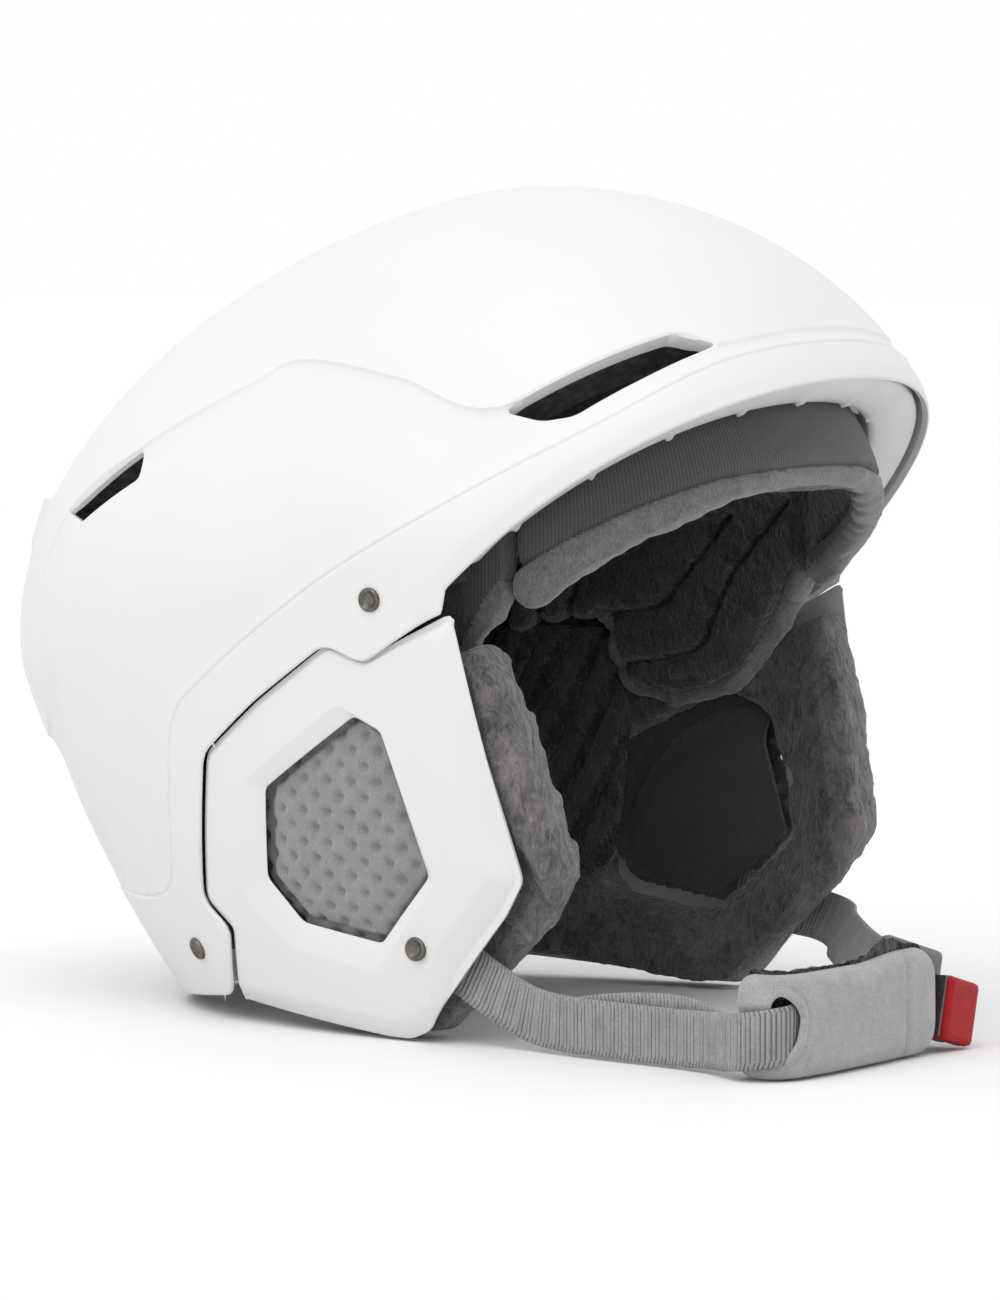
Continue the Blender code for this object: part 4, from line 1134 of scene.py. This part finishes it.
def face_materials(obj, choose):
    """Sets each face's material slot from its middle."""
    middles = np.empty(len(obj.data.polygons) * 3)
    obj.data.polygons.foreach_get("center", middles)
    obj.data.polygons.foreach_set("material_index", choose(middles.reshape(-1, 3)).astype(np.int32))


SEAM_LINE = [(-0.110, 0.159), (-0.102, 0.156), (-0.091, 0.150), (-0.074, 0.140), (-0.056, 0.128),
             (-0.047, 0.117)]
SEAM_SLOPE = 0.75


def above_seam(points):
    """Distance above the sweat band's seam."""
    line_y, line_z = np.array(SEAM_LINE).T
    return (points[:, 2] - np.interp(points[:, 1], line_y, line_z)) * SEAM_SLOPE


def band_cloth(points):
    """Material of the sweat band: knit outside, pile on the roll, plush against the head."""
    s = above_seam(points)
    inside = (depth_below(points) > PAD_DEPTH + 0.0056) & (s > -0.004)
    return np.where(inside, 2, np.where(s < 0.0, 1, 0))


def build_forehead():
    """Knitted sweat band with a sewn seam and a soft rolled edge under it."""
    band = grown("forehead_pad", "sweat_band", [KNIT, PILE, FUR_DARK])

    def relief(points):
        s = above_seam(points) / MM
        seam = -1.5 * np.exp(-(s / 0.7) ** 2)
        roll = 2.0 * np.sin(np.clip(-s / 8.0, 0.0, 1.0) * math.pi) ** 0.8
        crown = 0.8 * smoothstep(s / 5.0)
        return (seam + roll + crown) * MM + (s < 0.0) * pile_relief(points, 0.00012, 0.0015)

    shaped(band, relief)
    points = coordinates(band.data)
    points[:, 1] += 0.0018 * smoothstep((points[:, 1] + 0.070) / 0.007)
    set_coordinates(band.data, points)
    face_materials(band, band_cloth)
    finish_piece(band, "helmet", "grey_fabric", "forehead_pad", fill=0.75)


def groove_field(lines):
    """Distance from the nearest of several side-view lines."""
    def field(points):
        best = np.full(len(points), 1.0)
        for line in lines:
            route = smooth_route(line, 6)
            for a, b in zip(route, route[1:]):
                best = np.minimum(best, line_distance(points[:, 1:], a, b))
        return best
    return field


CHEEK_CHANNELS = [[(-0.030, 0.141), (-0.022, 0.131), (-0.014, 0.122), (-0.007, 0.114), (0.009, 0.111)],
                  [(-0.052, 0.146), (-0.034, 0.127), (-0.026, 0.111), (-0.020, 0.101), (0.007, 0.095)]]
SIDE_RIBS = [[(0.014 + 0.0105 * k, 0.160), (0.020 + 0.0105 * k, 0.128), (0.034 + 0.0105 * k, 0.085)]
             for k in range(4)]
SIDE_PAD_EDGE = [(-0.058, 0.124), (-0.047, 0.105), (-0.033, 0.089), (-0.014, 0.083),
                 (0.002, 0.085), (0.009, 0.092), (0.0135, 0.107)]


def build_side_pad(side_name):
    """Cheek flap and side liner: plush with sewn channels, painted shade along them, and a smooth rolled
    border.
    """
    pad = grown(f"side_pad_{side_name}", f"side_liner_{side_name}", [FUR_DARK, PILE, KNIT, FUR_SHADE])
    channels = groove_field(CHEEK_CHANNELS + SIDE_RIBS)
    border = groove_field([SIDE_PAD_EDGE])

    def relief(points):
        d = channels(points) / MM
        e = border(points) / MM
        sewn = -2.0 * np.exp(-(d / 1.0) ** 2) + 0.9 * smoothstep(d / 5.0)
        welt = 0.8 * np.exp(-((e - 1.5) / 2.0) ** 2) - 1.2 * np.exp(-((e - 4.8) / 0.8) ** 2)
        return (sewn + welt) * MM + pile_relief(points, 0.00045)

    shaped(pad, relief)

    def cloth(middles):
        band = (middles[:, 1] < -0.046) & (band_cloth(middles) == 0)
        # Faces along the sewn channels take FUR_SHADE: painted shade in the grooves.
        sewn = channels(middles) < 0.0009
        return np.where(band, 2, np.where(border(middles) < 0.0046, 1, np.where(sewn, 3, 0)))

    face_materials(pad, cloth)
    finish_piece(pad, "helmet", "dark_plush", f"side_pad_{side_name}", fill=0.7)


def build_crown_and_rear():
    """Plush liners over the head and behind it, both with sewn channels."""
    crown = grown("crown_pad", "crown_liner", [FUR_DARK])

    def crown_relief(points):
        across = np.abs(np.abs(points[:, 0]) - 0.0115) / MM
        round_end = np.abs((points[:, 1] % 0.045) - 0.0225) / MM
        sewn = -1.8 * np.exp(-(across / 1.0) ** 2) - 1.0 * np.exp(-(round_end / 1.0) ** 2)
        return (sewn + 0.8) * MM + pile_relief(points, 0.00045)

    shaped(crown, crown_relief)
    rear = grown("rear_pad", "rear_liner", [FUR_DARK])

    def rear_relief(points):
        slanted = points[:, 0] + 0.35 * np.sign(points[:, 0]) * (points[:, 2] - 0.11)
        away = from_stripe(slanted, 0.0125) / MM
        return (0.8 - 2.0 * np.exp(-(away / 1.0) ** 2)) * MM + pile_relief(points, 0.00045)

    shaped(rear, rear_relief)
    for pad, node in ((crown, "crown_pad"), (rear, "rear_pad")):
        finish_piece(pad, "helmet", "dark_plush", node, fill=0.6)


def build_ear_pad(side_name):
    """Plush ring round the ear."""
    ring = grown(f"ear_pad_{side_name}", f"ear_ring_{side_name}", [FUR_EAR, FUR_ROLL], EAR_CLOTH_CAP)
    cover = rounded(COVER_OUTLINE, 0.0022)

    shaped(ring, lambda points: pile_relief(points, 0.0005, 0.0024), EAR_PAD_DEPTH + 0.0002)
    face_materials(ring, lambda middles: inside_distance(middles[:, 1:], cover) < 0.001)
    finish_piece(ring, "helmet", "dark_plush", f"ear_pad_{side_name}", fill=0.7)


EAR_POCKET = [(-0.0220, 0.0875), (-0.0395, 0.0825), (-0.0512, 0.0460), (-0.0248, 0.0237),
              (0.0066, 0.0285), (0.0184, 0.0434), (0.0146, 0.0696)]
HOLE_PITCH = (0.0062, 0.0054)
HOLE_RADIUS = 0.0011
LINING_STEP = 0.00045
LINING_THICKNESS = 0.0011


def build_ear_lining(side_name, side):
    """Perforated lining at the bottom of the ear space."""
    flat, shape = side_grid((-0.0520, 0.0232), (0.0195, 0.0885), LINING_STEP)
    inside = inside_distance(flat, rounded(EAR_POCKET, 0.002))
    dent = np.exp(-(from_dot(flat, HOLE_PITCH) / HOLE_RADIUS) ** 2)
    points = side_points(flat[:, 0], flat[:, 1], side, EAR_PAD_DEPTH + 0.0082 - 0.0013 * dent)
    from_pivot = np.hypot(flat[:, 0] + 0.036, flat[:, 1] - 0.027)
    limit = 0.0770 + 0.015 * smoothstep((from_pivot - 0.043) / 0.020)
    points[:, 0] = side * np.minimum(np.abs(points[:, 0]), limit)
    mesh = grid_mesh(f"ear_lining_{side_name}", points.reshape(*shape, 3))
    lining = new_object(f"ear_lining_{side_name}", mesh, [SUEDE_DARK])
    without(mesh, inside < 0.0)
    turned_outward(mesh)
    thicken(lining, LINING_THICKNESS, offset=0.0)
    finish_piece(lining, "helmet", "dark_plush", f"ear_pocket_{side_name}", fill=0.2)


NAPE_PITCH = 0.0118
NAPE_SLANT = 0.42
NAPE_DEPTH = 0.0226
NAPE_THICKNESS = 0.0016
NAPE_OUTLINE = [(0.0070, 0.0800), (0.0125, 0.1020), (0.0500, 0.1020), (0.0560, 0.1000), (0.0640, 0.0640),
                (0.0600, 0.0520), (0.0480, 0.0380), (0.0280, 0.0290), (0.0090, 0.0300)]


def build_nape_liner(side_name, side):
    """Plush liner behind the ear, quilted in slanted ribs, with painted shade along the seams."""
    outline = rounded(NAPE_OUTLINE, 0.004)

    def kept(points):
        within = inside_distance(points[:, 1:], outline)
        return np.minimum(within, side * points[:, 0] - 0.0615)

    def from_seam(points):
        return from_stripe(points[:, 1] + NAPE_SLANT * points[:, 2], NAPE_PITCH)

    def depth(points):
        away = from_seam(points) / MM
        edge = np.clip(inside_distance(points[:, 1:], outline) / MM, 0.0, 4.0) / 4.0
        puff = 3.2 * np.sqrt(np.clip(1.0 - (away / 5.9 - 1.0) ** 2, 0.0, 1.0)) * edge
        return NAPE_DEPTH + puff * MM + pile_relief(points, 0.00018)

    liner = skin(f"nape_liner_{side_name}", NAPE_RESOLUTION, kept, depth, NAPE_THICKNESS, FUR_DARK,
                 near=lambda points: kept(points) > -0.004)
    # Faces along the seams take FUR_SHADE: painted shade in the quilting grooves.
    liner.data.materials.append(FUR_SHADE)
    face_materials(liner, lambda middles: from_seam(middles) < 0.0015)
    finish_piece(liner, "helmet", "dark_plush", fill=0.5)


# ---- chin strap -----------------------------------------------------------------------------------------
# Stations are x, y, z in millimetres, then the lean of the width and the heading of that lean.
RIGHT_STRAP = [
    (-82.0, -29.0, 30.9, 29.0, 0.0), (-82.0, -36.0, 27.0, 29.0, 0.0), (-82.0, -48.0, 20.4, 28.0, 0.0),
    (-82.0, -58.0, 14.8, 22.0, 0.0), (-83.0, -70.0, 10.2, 9.0, 0.0), (-85.5, -84.0, 8.8, 0.0, 20.0),
    (-88.0, -101.0, 8.6, 0.0, 90.0), (-91.0, -121.0, 8.6, 0.0, 90.0),
    (-95.3, -136.0, 9.2, 0.0, 90.0), (-100.6, -144.0, 9.8, 0.0, 90.0),
    (-103.5, -151.5, 10.8, 0.0, 90.0), (-101.8, -158.6, 12.0, 0.0, 90.0),
    (-96.8, -161.7, 12.8, 0.0, 90.0), (-90.0, -161.3, 13.6, 0.0, 90.0),
    (-83.0, -160.9, 14.0, 0.0, 90.0), (-60.0, -159.8, 15.2, 2.0, 90.0), (-42.0, -159.2, 15.6, 8.0, 90.0),
    (-31.0, -158.0, 15.2, 13.0, 90.0), (-22.0, -156.3, 13.4, 14.85, 90.0),
    (-14.0, -155.2, 11.4, 14.85, 90.0)]
LEFT_STRAP = [
    (82.0, -29.0, 29.0, 15.0, 0.0), (82.0, -36.0, 27.0, 16.0, 0.0), (82.0, -48.0, 24.6, 20.0, 0.0),
    (81.5, -60.0, 22.9, 26.0, 6.0), (75.0, -70.0, 21.4, 30.0, 20.0), (61.0, -79.5, 20.3, 32.0, 32.0),
    (45.0, -92.8, 19.2, 30.0, 36.0), (30.0, -106.5, 18.2, 25.0, 40.0), (16.0, -122.0, 16.6, 19.0, 50.0),
    (5.0, -137.5, 14.6, 15.5, 75.0), (-3.0, -147.5, 13.9, 14.85, 90.0),
    (-9.0, -149.8, 14.9, 14.85, 90.0), (-15.4, -150.1, 16.6, 14.85, 90.0)]
SPARE_STRAP = [
    (-84.0, -86.0, 8.8, 0.0, 90.0), (-85.6, -101.0, 11.0, 0.0, 90.0), (-88.4, -119.0, 12.0, 0.0, 90.0),
    (-92.0, -133.0, 10.8, 0.0, 90.0), (-96.6, -140.5, 9.4, 0.0, 90.0)]
WEBBING_WIDTH = 15.5
WEBBING_THICKNESS = 1.6
WEBBING_POINTS = 27
RIB = 1.35


def even_route(stations, step):
    """Route samples at even distances, in millimetres."""
    route = smooth_route(stations, 24)
    walked = distance_walked(route[:, :3])
    at = np.arange(0.0, walked[-1], step)
    return at, np.stack([np.interp(at, walked, route[:, k]) for k in range(route.shape[1])], 1)


def build_webbing(name, stations, body, *nodes):
    """Flat webbing with raised weft ribs, painted shade in the furrows between them, and a toothed selvedge.
    """
    at, route = even_route(stations, 0.25)
    lean, heading = np.radians(route[:, 3]), np.radians(route[:, 4])
    across = np.stack((np.sin(lean) * np.sin(heading), -np.sin(lean) * np.cos(heading), np.cos(lean)), 1)
    tangent = np.gradient(route[:, :3], axis=0)
    tangent /= np.linalg.norm(tangent, axis=1, keepdims=True)
    normal = np.cross(tangent, across)
    normal /= np.linalg.norm(normal, axis=1, keepdims=True)
    half = 0.5 * WEBBING_WIDTH
    across_face = np.linspace(-1.0, 1.0, WEBBING_POINTS)
    face = np.repeat((1.0, -1.0), WEBBING_POINTS)
    v = np.concatenate((across_face, np.linspace(1.0, -1.0, WEBBING_POINTS))) * half
    edge = np.clip((np.abs(v) - half + 1.5) / 1.5, 0.0, 1.0)
    phase = at[:, None] / RIB + 0.55 * np.maximum(0.0, edge)[None, :] + 0.25 * (face < 0)[None, :]
    rib = np.abs(np.sin(math.pi * phase))
    body_thick = 0.5 * WEBBING_THICKNESS * np.sqrt(np.clip(1.0 - 0.75 * edge ** 2, 0.0, 1.0))
    w = face * (body_thick - 0.34 * (1.0 - rib))
    spread = v * (1.0 + 0.012 * edge * (rib - 0.5))
    points = (route[:, None, :3] + across[:, None] * spread[..., None] + normal[:, None] * w[..., None]) * MM
    mesh = grid_mesh(name, points, closed_v=True)
    turned_outward(mesh, fill=True)
    strap = new_object(name, mesh, [YARN, YARN_SHADE])
    row, column = np.divmod(np.arange(len(mesh.polygons)), len(v))
    row = np.minimum(row, len(at) - 1)
    # Faces in the furrows between ribs take YARN_SHADE: painted shade.
    mesh.polygons.foreach_set("material_index", (rib[row, column] < 0.5).astype(np.int32))
    finish_piece(strap, body, "grey_webbing", *nodes)


PAD_ROUTE = [(-95.0, -146.5), (-97.6, -152.5), (-95.5, -158.3), (-86.0, -160.5), (-58.0, -160.4),
             (-22.5, -158.8)]
SLEEVE_FILL = 0.6
SUEDE_THICKNESS = 0.0009
PLUSH_MARGIN = 0.9
# Slot outline: distance along the sleeve from its end, then height, in millimetres.
SLOT = [(12.0, 23.4), (14.6, 20.6), (15.9, 17.0), (15.0, 11.0), (12.6, 6.2), (9.6, 4.2), (8.6, 6.0),
        (9.6, 12.0), (10.6, 18.0), (10.9, 21.5)]


def sleeve_edges(u, length, grow):
    """Lowest and highest point of the sleeve along its length."""
    top = 28.3 + 1.6 * smoothstep((u - 45.0) / 25.0) + grow
    if grow:
        top += 3.0 * np.exp(-((u - 62.0) / 9.0) ** 2)
    low = np.full(len(u), 0.6)
    for radius, place, sign in ((6.0, -grow, 1.0), (9.0, length + grow, -1.0)):
        t = np.clip(1.0 - sign * (u - place) / radius, 0.0, 1.0)
        drop = radius * (1.0 - np.sqrt(1.0 - t * t))
        top = top - drop * (1.0 if sign > 0 else 1.25)
        low = low + drop
    return low, top


def sleeve_sheet(name, grow, depth_at, mats, slot=None):
    """One face of the chin sleeve, mapped from a flat sheet along its route."""
    route_at, route = even_route(PAD_ROUTE, 0.2)
    length = route_at[-1]
    u = np.linspace(-grow, length + grow, 240)
    low, top = sleeve_edges(u, length, grow)
    v = np.sin(np.linspace(-0.5 * math.pi, 0.5 * math.pi, 72))
    height = low[:, None] + (top - low)[:, None] * 0.5 * (v + 1.0)
    flat = np.stack((np.repeat(u, len(v)), height.ravel()), 1)
    share = np.tile(v, len(u))
    grid = np.column_stack((flat, share)).reshape(len(u), len(v), 3)
    mesh = grid_mesh(name, grid)
    obj = new_object(name, mesh, mats)
    bm = bmesh.new()
    bm.from_mesh(mesh)
    if slot is not None:
        def hole(points):
            return -inside_distance(points[:, :2], slot)
        cut_along(bm, hole, 0.0)
        drop_faces(bm, hole)
    points = bm_points(bm)
    ends = np.clip(np.minimum(points[:, 0] + grow, length + grow - points[:, 0]) / 5.0, 0.0, 1.0)
    edge = np.sqrt(1.0 - (1.0 - ends) ** 2) * (1.0 - np.abs(points[:, 2]) ** 5) ** 0.4
    out = depth_at(points[:, 0], points[:, 1]) * edge
    along = np.clip(points[:, 0], 0.4, length - 0.4)
    centre, ahead, behind = (np.stack([np.interp(along + step, route_at, route[:, k]) for k in (0, 1)], 1)
                             for step in (0.0, 0.4, -0.4))
    tangent = (ahead - behind) / np.linalg.norm(ahead - behind, axis=1, keepdims=True)
    beyond = points[:, 0] - along
    centre += tangent * beyond[:, None]
    normal = np.stack((tangent[:, 1], -tangent[:, 0]), 1)
    places = np.column_stack((centre + normal * out[:, None], points[:, 1])) * MM
    set_bm_points(bm, places)
    bmesh.ops.recalc_face_normals(bm, faces=bm.faces[:])
    bm.to_mesh(mesh)
    bm.free()
    return obj


def build_chin_sleeve():
    """Padded sleeve on the strap: suede in front with a slot, plush behind."""
    slot = rounded(SLOT, 1.2)

    def front(u, z):
        d = -inside_distance(np.column_stack((u, z)), slot)
        right = smoothstep((u - 11.5) / 3.0)
        rim = 0.75 * np.exp(-((d - 0.9) / 0.9) ** 2) * (0.3 + 0.7 * right)
        line = -0.35 * np.exp(-((d - 2.6) / 0.45) ** 2) * right
        over = smoothstep((9.0 - np.abs(z - 11.5)) / 3.0) * (1.0 - smoothstep((u - 10.5) / 2.0))
        full = 4.3 + 0.5 * np.sin(np.clip((u - 16.0) / 60.0, 0.0, 1.0) * math.pi)
        wave = 0.12 * value_noise(np.column_stack((u, z, 0 * u)), 9.0, 5)
        fold = -0.6 * np.exp(-((u - 67.5) / 0.7) ** 2) + 0.5 * smoothstep((u - 68.0) / 2.0)
        return full + rim + line + fold - 1.0 * over + wave

    face = sleeve_sheet("chin_sleeve", 0.0, front, [SUEDE_LIGHT], slot)
    thicken(face, SUEDE_THICKNESS)
    finish_piece(face, "strap_right", "grey_fabric", "chin_pad", fill=SLEEVE_FILL)
    plush_back = sleeve_sheet("chin_plush", PLUSH_MARGIN, lambda u, z: np.full(len(u), -4.2), [FUR_BACK])
    plush_front = sleeve_sheet("chin_plush_front", PLUSH_MARGIN, lambda u, z: np.full(len(u), -1.6),
                               [FUR_BACK])
    for sheet, seed in ((plush_back, 7), (plush_front, 8)):
        points = coordinates(sheet.data)
        fuzz = 0.0005 * value_noise(points, 0.0013, seed) + 0.0004 * value_noise(points, 0.003, seed + 1)
        set_coordinates(sheet.data, points + vertex_normals(sheet.data) * fuzz[:, None])
        points = coordinates(sheet.data)
        points[:, 2] = np.maximum(points[:, 2], 0.0003)
        set_coordinates(sheet.data, points)
        shade(sheet.data)
        finish_piece(sheet, "strap_right", "grey_fabric", fill=SLEEVE_FILL)


# ---- buckle ---------------------------------------------------------------------------------------------
BUCKLE_CENTRE = Vector((-0.0128, -0.1615, 0.0109))
BUCKLE_ROLL = math.radians(14.85)


def bevelled_block(name, low, high, mat, chamfer):
    """Block in the buckle's frame with a broad chamfer and soft edges."""
    bm = bmesh.new()
    bmesh.ops.create_cube(bm, size=1.0)
    low, high = np.array(low) * MM, np.array(high) * MM
    set_bm_points(bm, bm_points(bm) * (high - low) + 0.5 * (low + high))
    bmesh.ops.bevel(bm, geom=bm.edges[:], offset=chamfer, segments=2, profile=0.55, affect="EDGES")
    mesh = bpy.data.meshes.new(name)
    bm.to_mesh(mesh)
    bm.free()
    mesh.transform(Matrix.Translation(BUCKLE_CENTRE) @ Matrix.Rotation(BUCKLE_ROLL, 4, "Y"))
    obj = new_object(name, mesh, [mat])
    soften(obj, 0.0003, 15.0)
    return applied(obj)


def build_buckle():
    """Release button, the socket behind it and the stud half."""
    tab = bevelled_block("release_button", (-8.0, -3.1, -8.9), (8.0, 3.1, 8.9), RED_PAINT.mat, 0.0017)
    finish_piece(tab, "release", "red_plastic", "release_tab")
    socket = bevelled_block("buckle_socket", (-8.0, 3.5, -8.4), (7.5, 8.6, 9.0), GREY, 0.0018)
    finish_piece(socket, "strap_right", "dark_plastic", "buckle_housing")
    stud = bevelled_block("buckle_stud_half", (-22.0, 9.1, -5.0), (7.0, 13.8, 17.0), GREY, 0.0019)
    finish_piece(stud, "strap_left", "dark_plastic", "buckle_tongue")
    for node in ("latch_plate", "release_spring"):
        repaint(node, NICKEL)


def repaint(node, mat, bevel=0.0):
    """Gives a CAD piece a finished material and, where wanted, soft edges."""
    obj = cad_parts[node]
    obj.data.materials.clear()
    obj.data.materials.append(mat)
    if bevel:
        soften(obj, bevel, 30.0)


# ---- rear fittings ----------------------------------------------------------------------------------------
DIAL_CENTRE = np.array((0.0, 0.1117, 0.0360))
DIAL_TILT = math.radians(36.0)


def build_rear_fittings():
    """Goggle clip, fit dial with a gripped rim, its housing and bands."""
    for node, width in (("goggle_clip_base", 0.0012), ("goggle_clip", 0.0009)):
        repaint(node, TRIM, width)
    for node, width in (("fit_housing", 0.0008), ("fit_band_right", 0.0004), ("fit_band_left", 0.0004)):
        repaint(node, DARK, width)
    repaint("goggle_clip_pin", NICKEL)
    repaint("fit_pinion", DARK)
    out = np.array((0.0, math.cos(DIAL_TILT), -math.sin(DIAL_TILT)))
    profile = [(0.0, 0.0030), (0.0045, 0.0030), (0.0055, 0.0034), (0.0115, 0.0042), (0.0128, 0.0041),
               (0.0152, 0.0033), (0.0167, 0.0020), (0.0170, 0.0), (0.0170, -0.0030), (0.0164, -0.0041),
               (0.0, -0.0042)]
    dial = lathe("turning_dial", profile, DIAL_CENTRE, out, [DARK], 180)
    points = coordinates(dial.data) - DIAL_CENTRE
    height = points @ out
    flat = points - height[:, None] * out
    radius = np.linalg.norm(flat, axis=1)
    side = np.cross(out, (1.0, 0.0, 0.0))
    angle = np.arctan2(flat @ side, flat[:, 0])
    grip = 0.0009 * smoothstep((radius - 0.0135) / 0.002) * (0.5 + 0.5 * np.cos(18.0 * angle)) ** 2
    flat *= (1.0 - grip / np.maximum(radius, 1e-6))[:, None]
    set_coordinates(dial.data, DIAL_CENTRE + flat + height[:, None] * out)
    finish_piece(dial, "dial", "dark_plastic", "fit_dial")


# ---- camera, light and floor ----------------------------------------------------------------------
KEY_PLACE = (-1.9, 0.3, 1.1)
KEY_TARGET = (0.0, 0.0, 0.12)
KEY_SIZE = 1.2
KEY_POWER = 7.0
SKY_TOWARD = (-0.42, -0.22, 1.0)
SKY_STRENGTH = 0.95
SKY_SPREAD = math.radians(50.0)
FLOOR_REACH = 30.0


def add_camera():
    """Camera where the picture was taken from."""
    data = bpy.data.cameras.new("camera")
    camera = linked("camera", data)
    data.lens = CAMERA_LENS
    data.sensor_width = 36.0
    data.clip_end = 50.0
    a, e = math.radians(CAMERA_AZIMUTH), math.radians(CAMERA_ELEVATION)
    back = Vector((math.sin(a) * math.cos(e), -math.cos(a) * math.cos(e), math.sin(e)))
    camera.location = CAMERA_PLACE
    camera.rotation_euler = (-back).to_track_quat("-Z", "Y").to_euler()
    bpy.context.scene.camera = camera


def add_lamp(name, kind, energy, toward):
    """Lamp that shines from the side that a vector points to."""
    lamp = linked(name, bpy.data.lights.new(name, kind))
    lamp.data.energy = energy
    lamp.rotation_euler = Vector(toward).to_track_quat("Z", "Y").to_euler()
    return lamp


def build_studio():
    """Camera, pale floor, white surroundings, a wide sky light and a key light."""
    add_camera()
    reach = (-FLOOR_REACH, FLOOR_REACH)
    floor = grid_mesh("floor", np.array([[(x, y, 0.0) for y in reach] for x in reach]))
    new_object("floor", floor, [floor_paint()])
    bpy.context.scene.view_settings.view_transform = "Standard"
    world = bpy.data.worlds.new("studio")
    bpy.context.scene.world = world
    world.use_nodes = True
    background = world.node_tree.nodes["Background"]
    background.inputs["Color"].default_value = (1.0, 1.0, 1.0, 1.0)
    background.inputs["Strength"].default_value = 1.0
    sky = add_lamp("sky", "SUN", SKY_STRENGTH, SKY_TOWARD)
    sky.data.angle = SKY_SPREAD
    key = add_lamp("key", "AREA", KEY_POWER, Vector(KEY_PLACE) - Vector(KEY_TARGET))
    key.location = KEY_PLACE
    key.data.shape = "DISK"
    key.data.size = KEY_SIZE


def main():
    """Builds the whole scene."""
    for name in ("Cube", "Light", "Camera"):
        if name in bpy.data.objects:
            bpy.data.objects.remove(bpy.data.objects[name], do_unlink=True)
    build_studio()
    build_shell()
    build_foam()
    for side_name, side in (("right", -1.0), ("left", 1.0)):
        build_cover(side_name, side)
        build_ear_fabric(side_name, side)
        build_rivets(side_name, side)
        build_side_pad(side_name)
        build_ear_pad(side_name)
        build_ear_lining(side_name, side)
        build_nape_liner(side_name, side)
    build_brim_lining()
    build_forehead()
    build_crown_and_rear()
    build_webbing("strap_webbing_right", RIGHT_STRAP, "strap_right", "webbing_right")
    build_webbing("strap_webbing_left", LEFT_STRAP, "strap_left", "webbing_left")
    build_webbing("strap_webbing_spare", SPARE_STRAP, "strap_right")
    build_chin_sleeve()
    build_buckle()
    build_rear_fittings()


main()
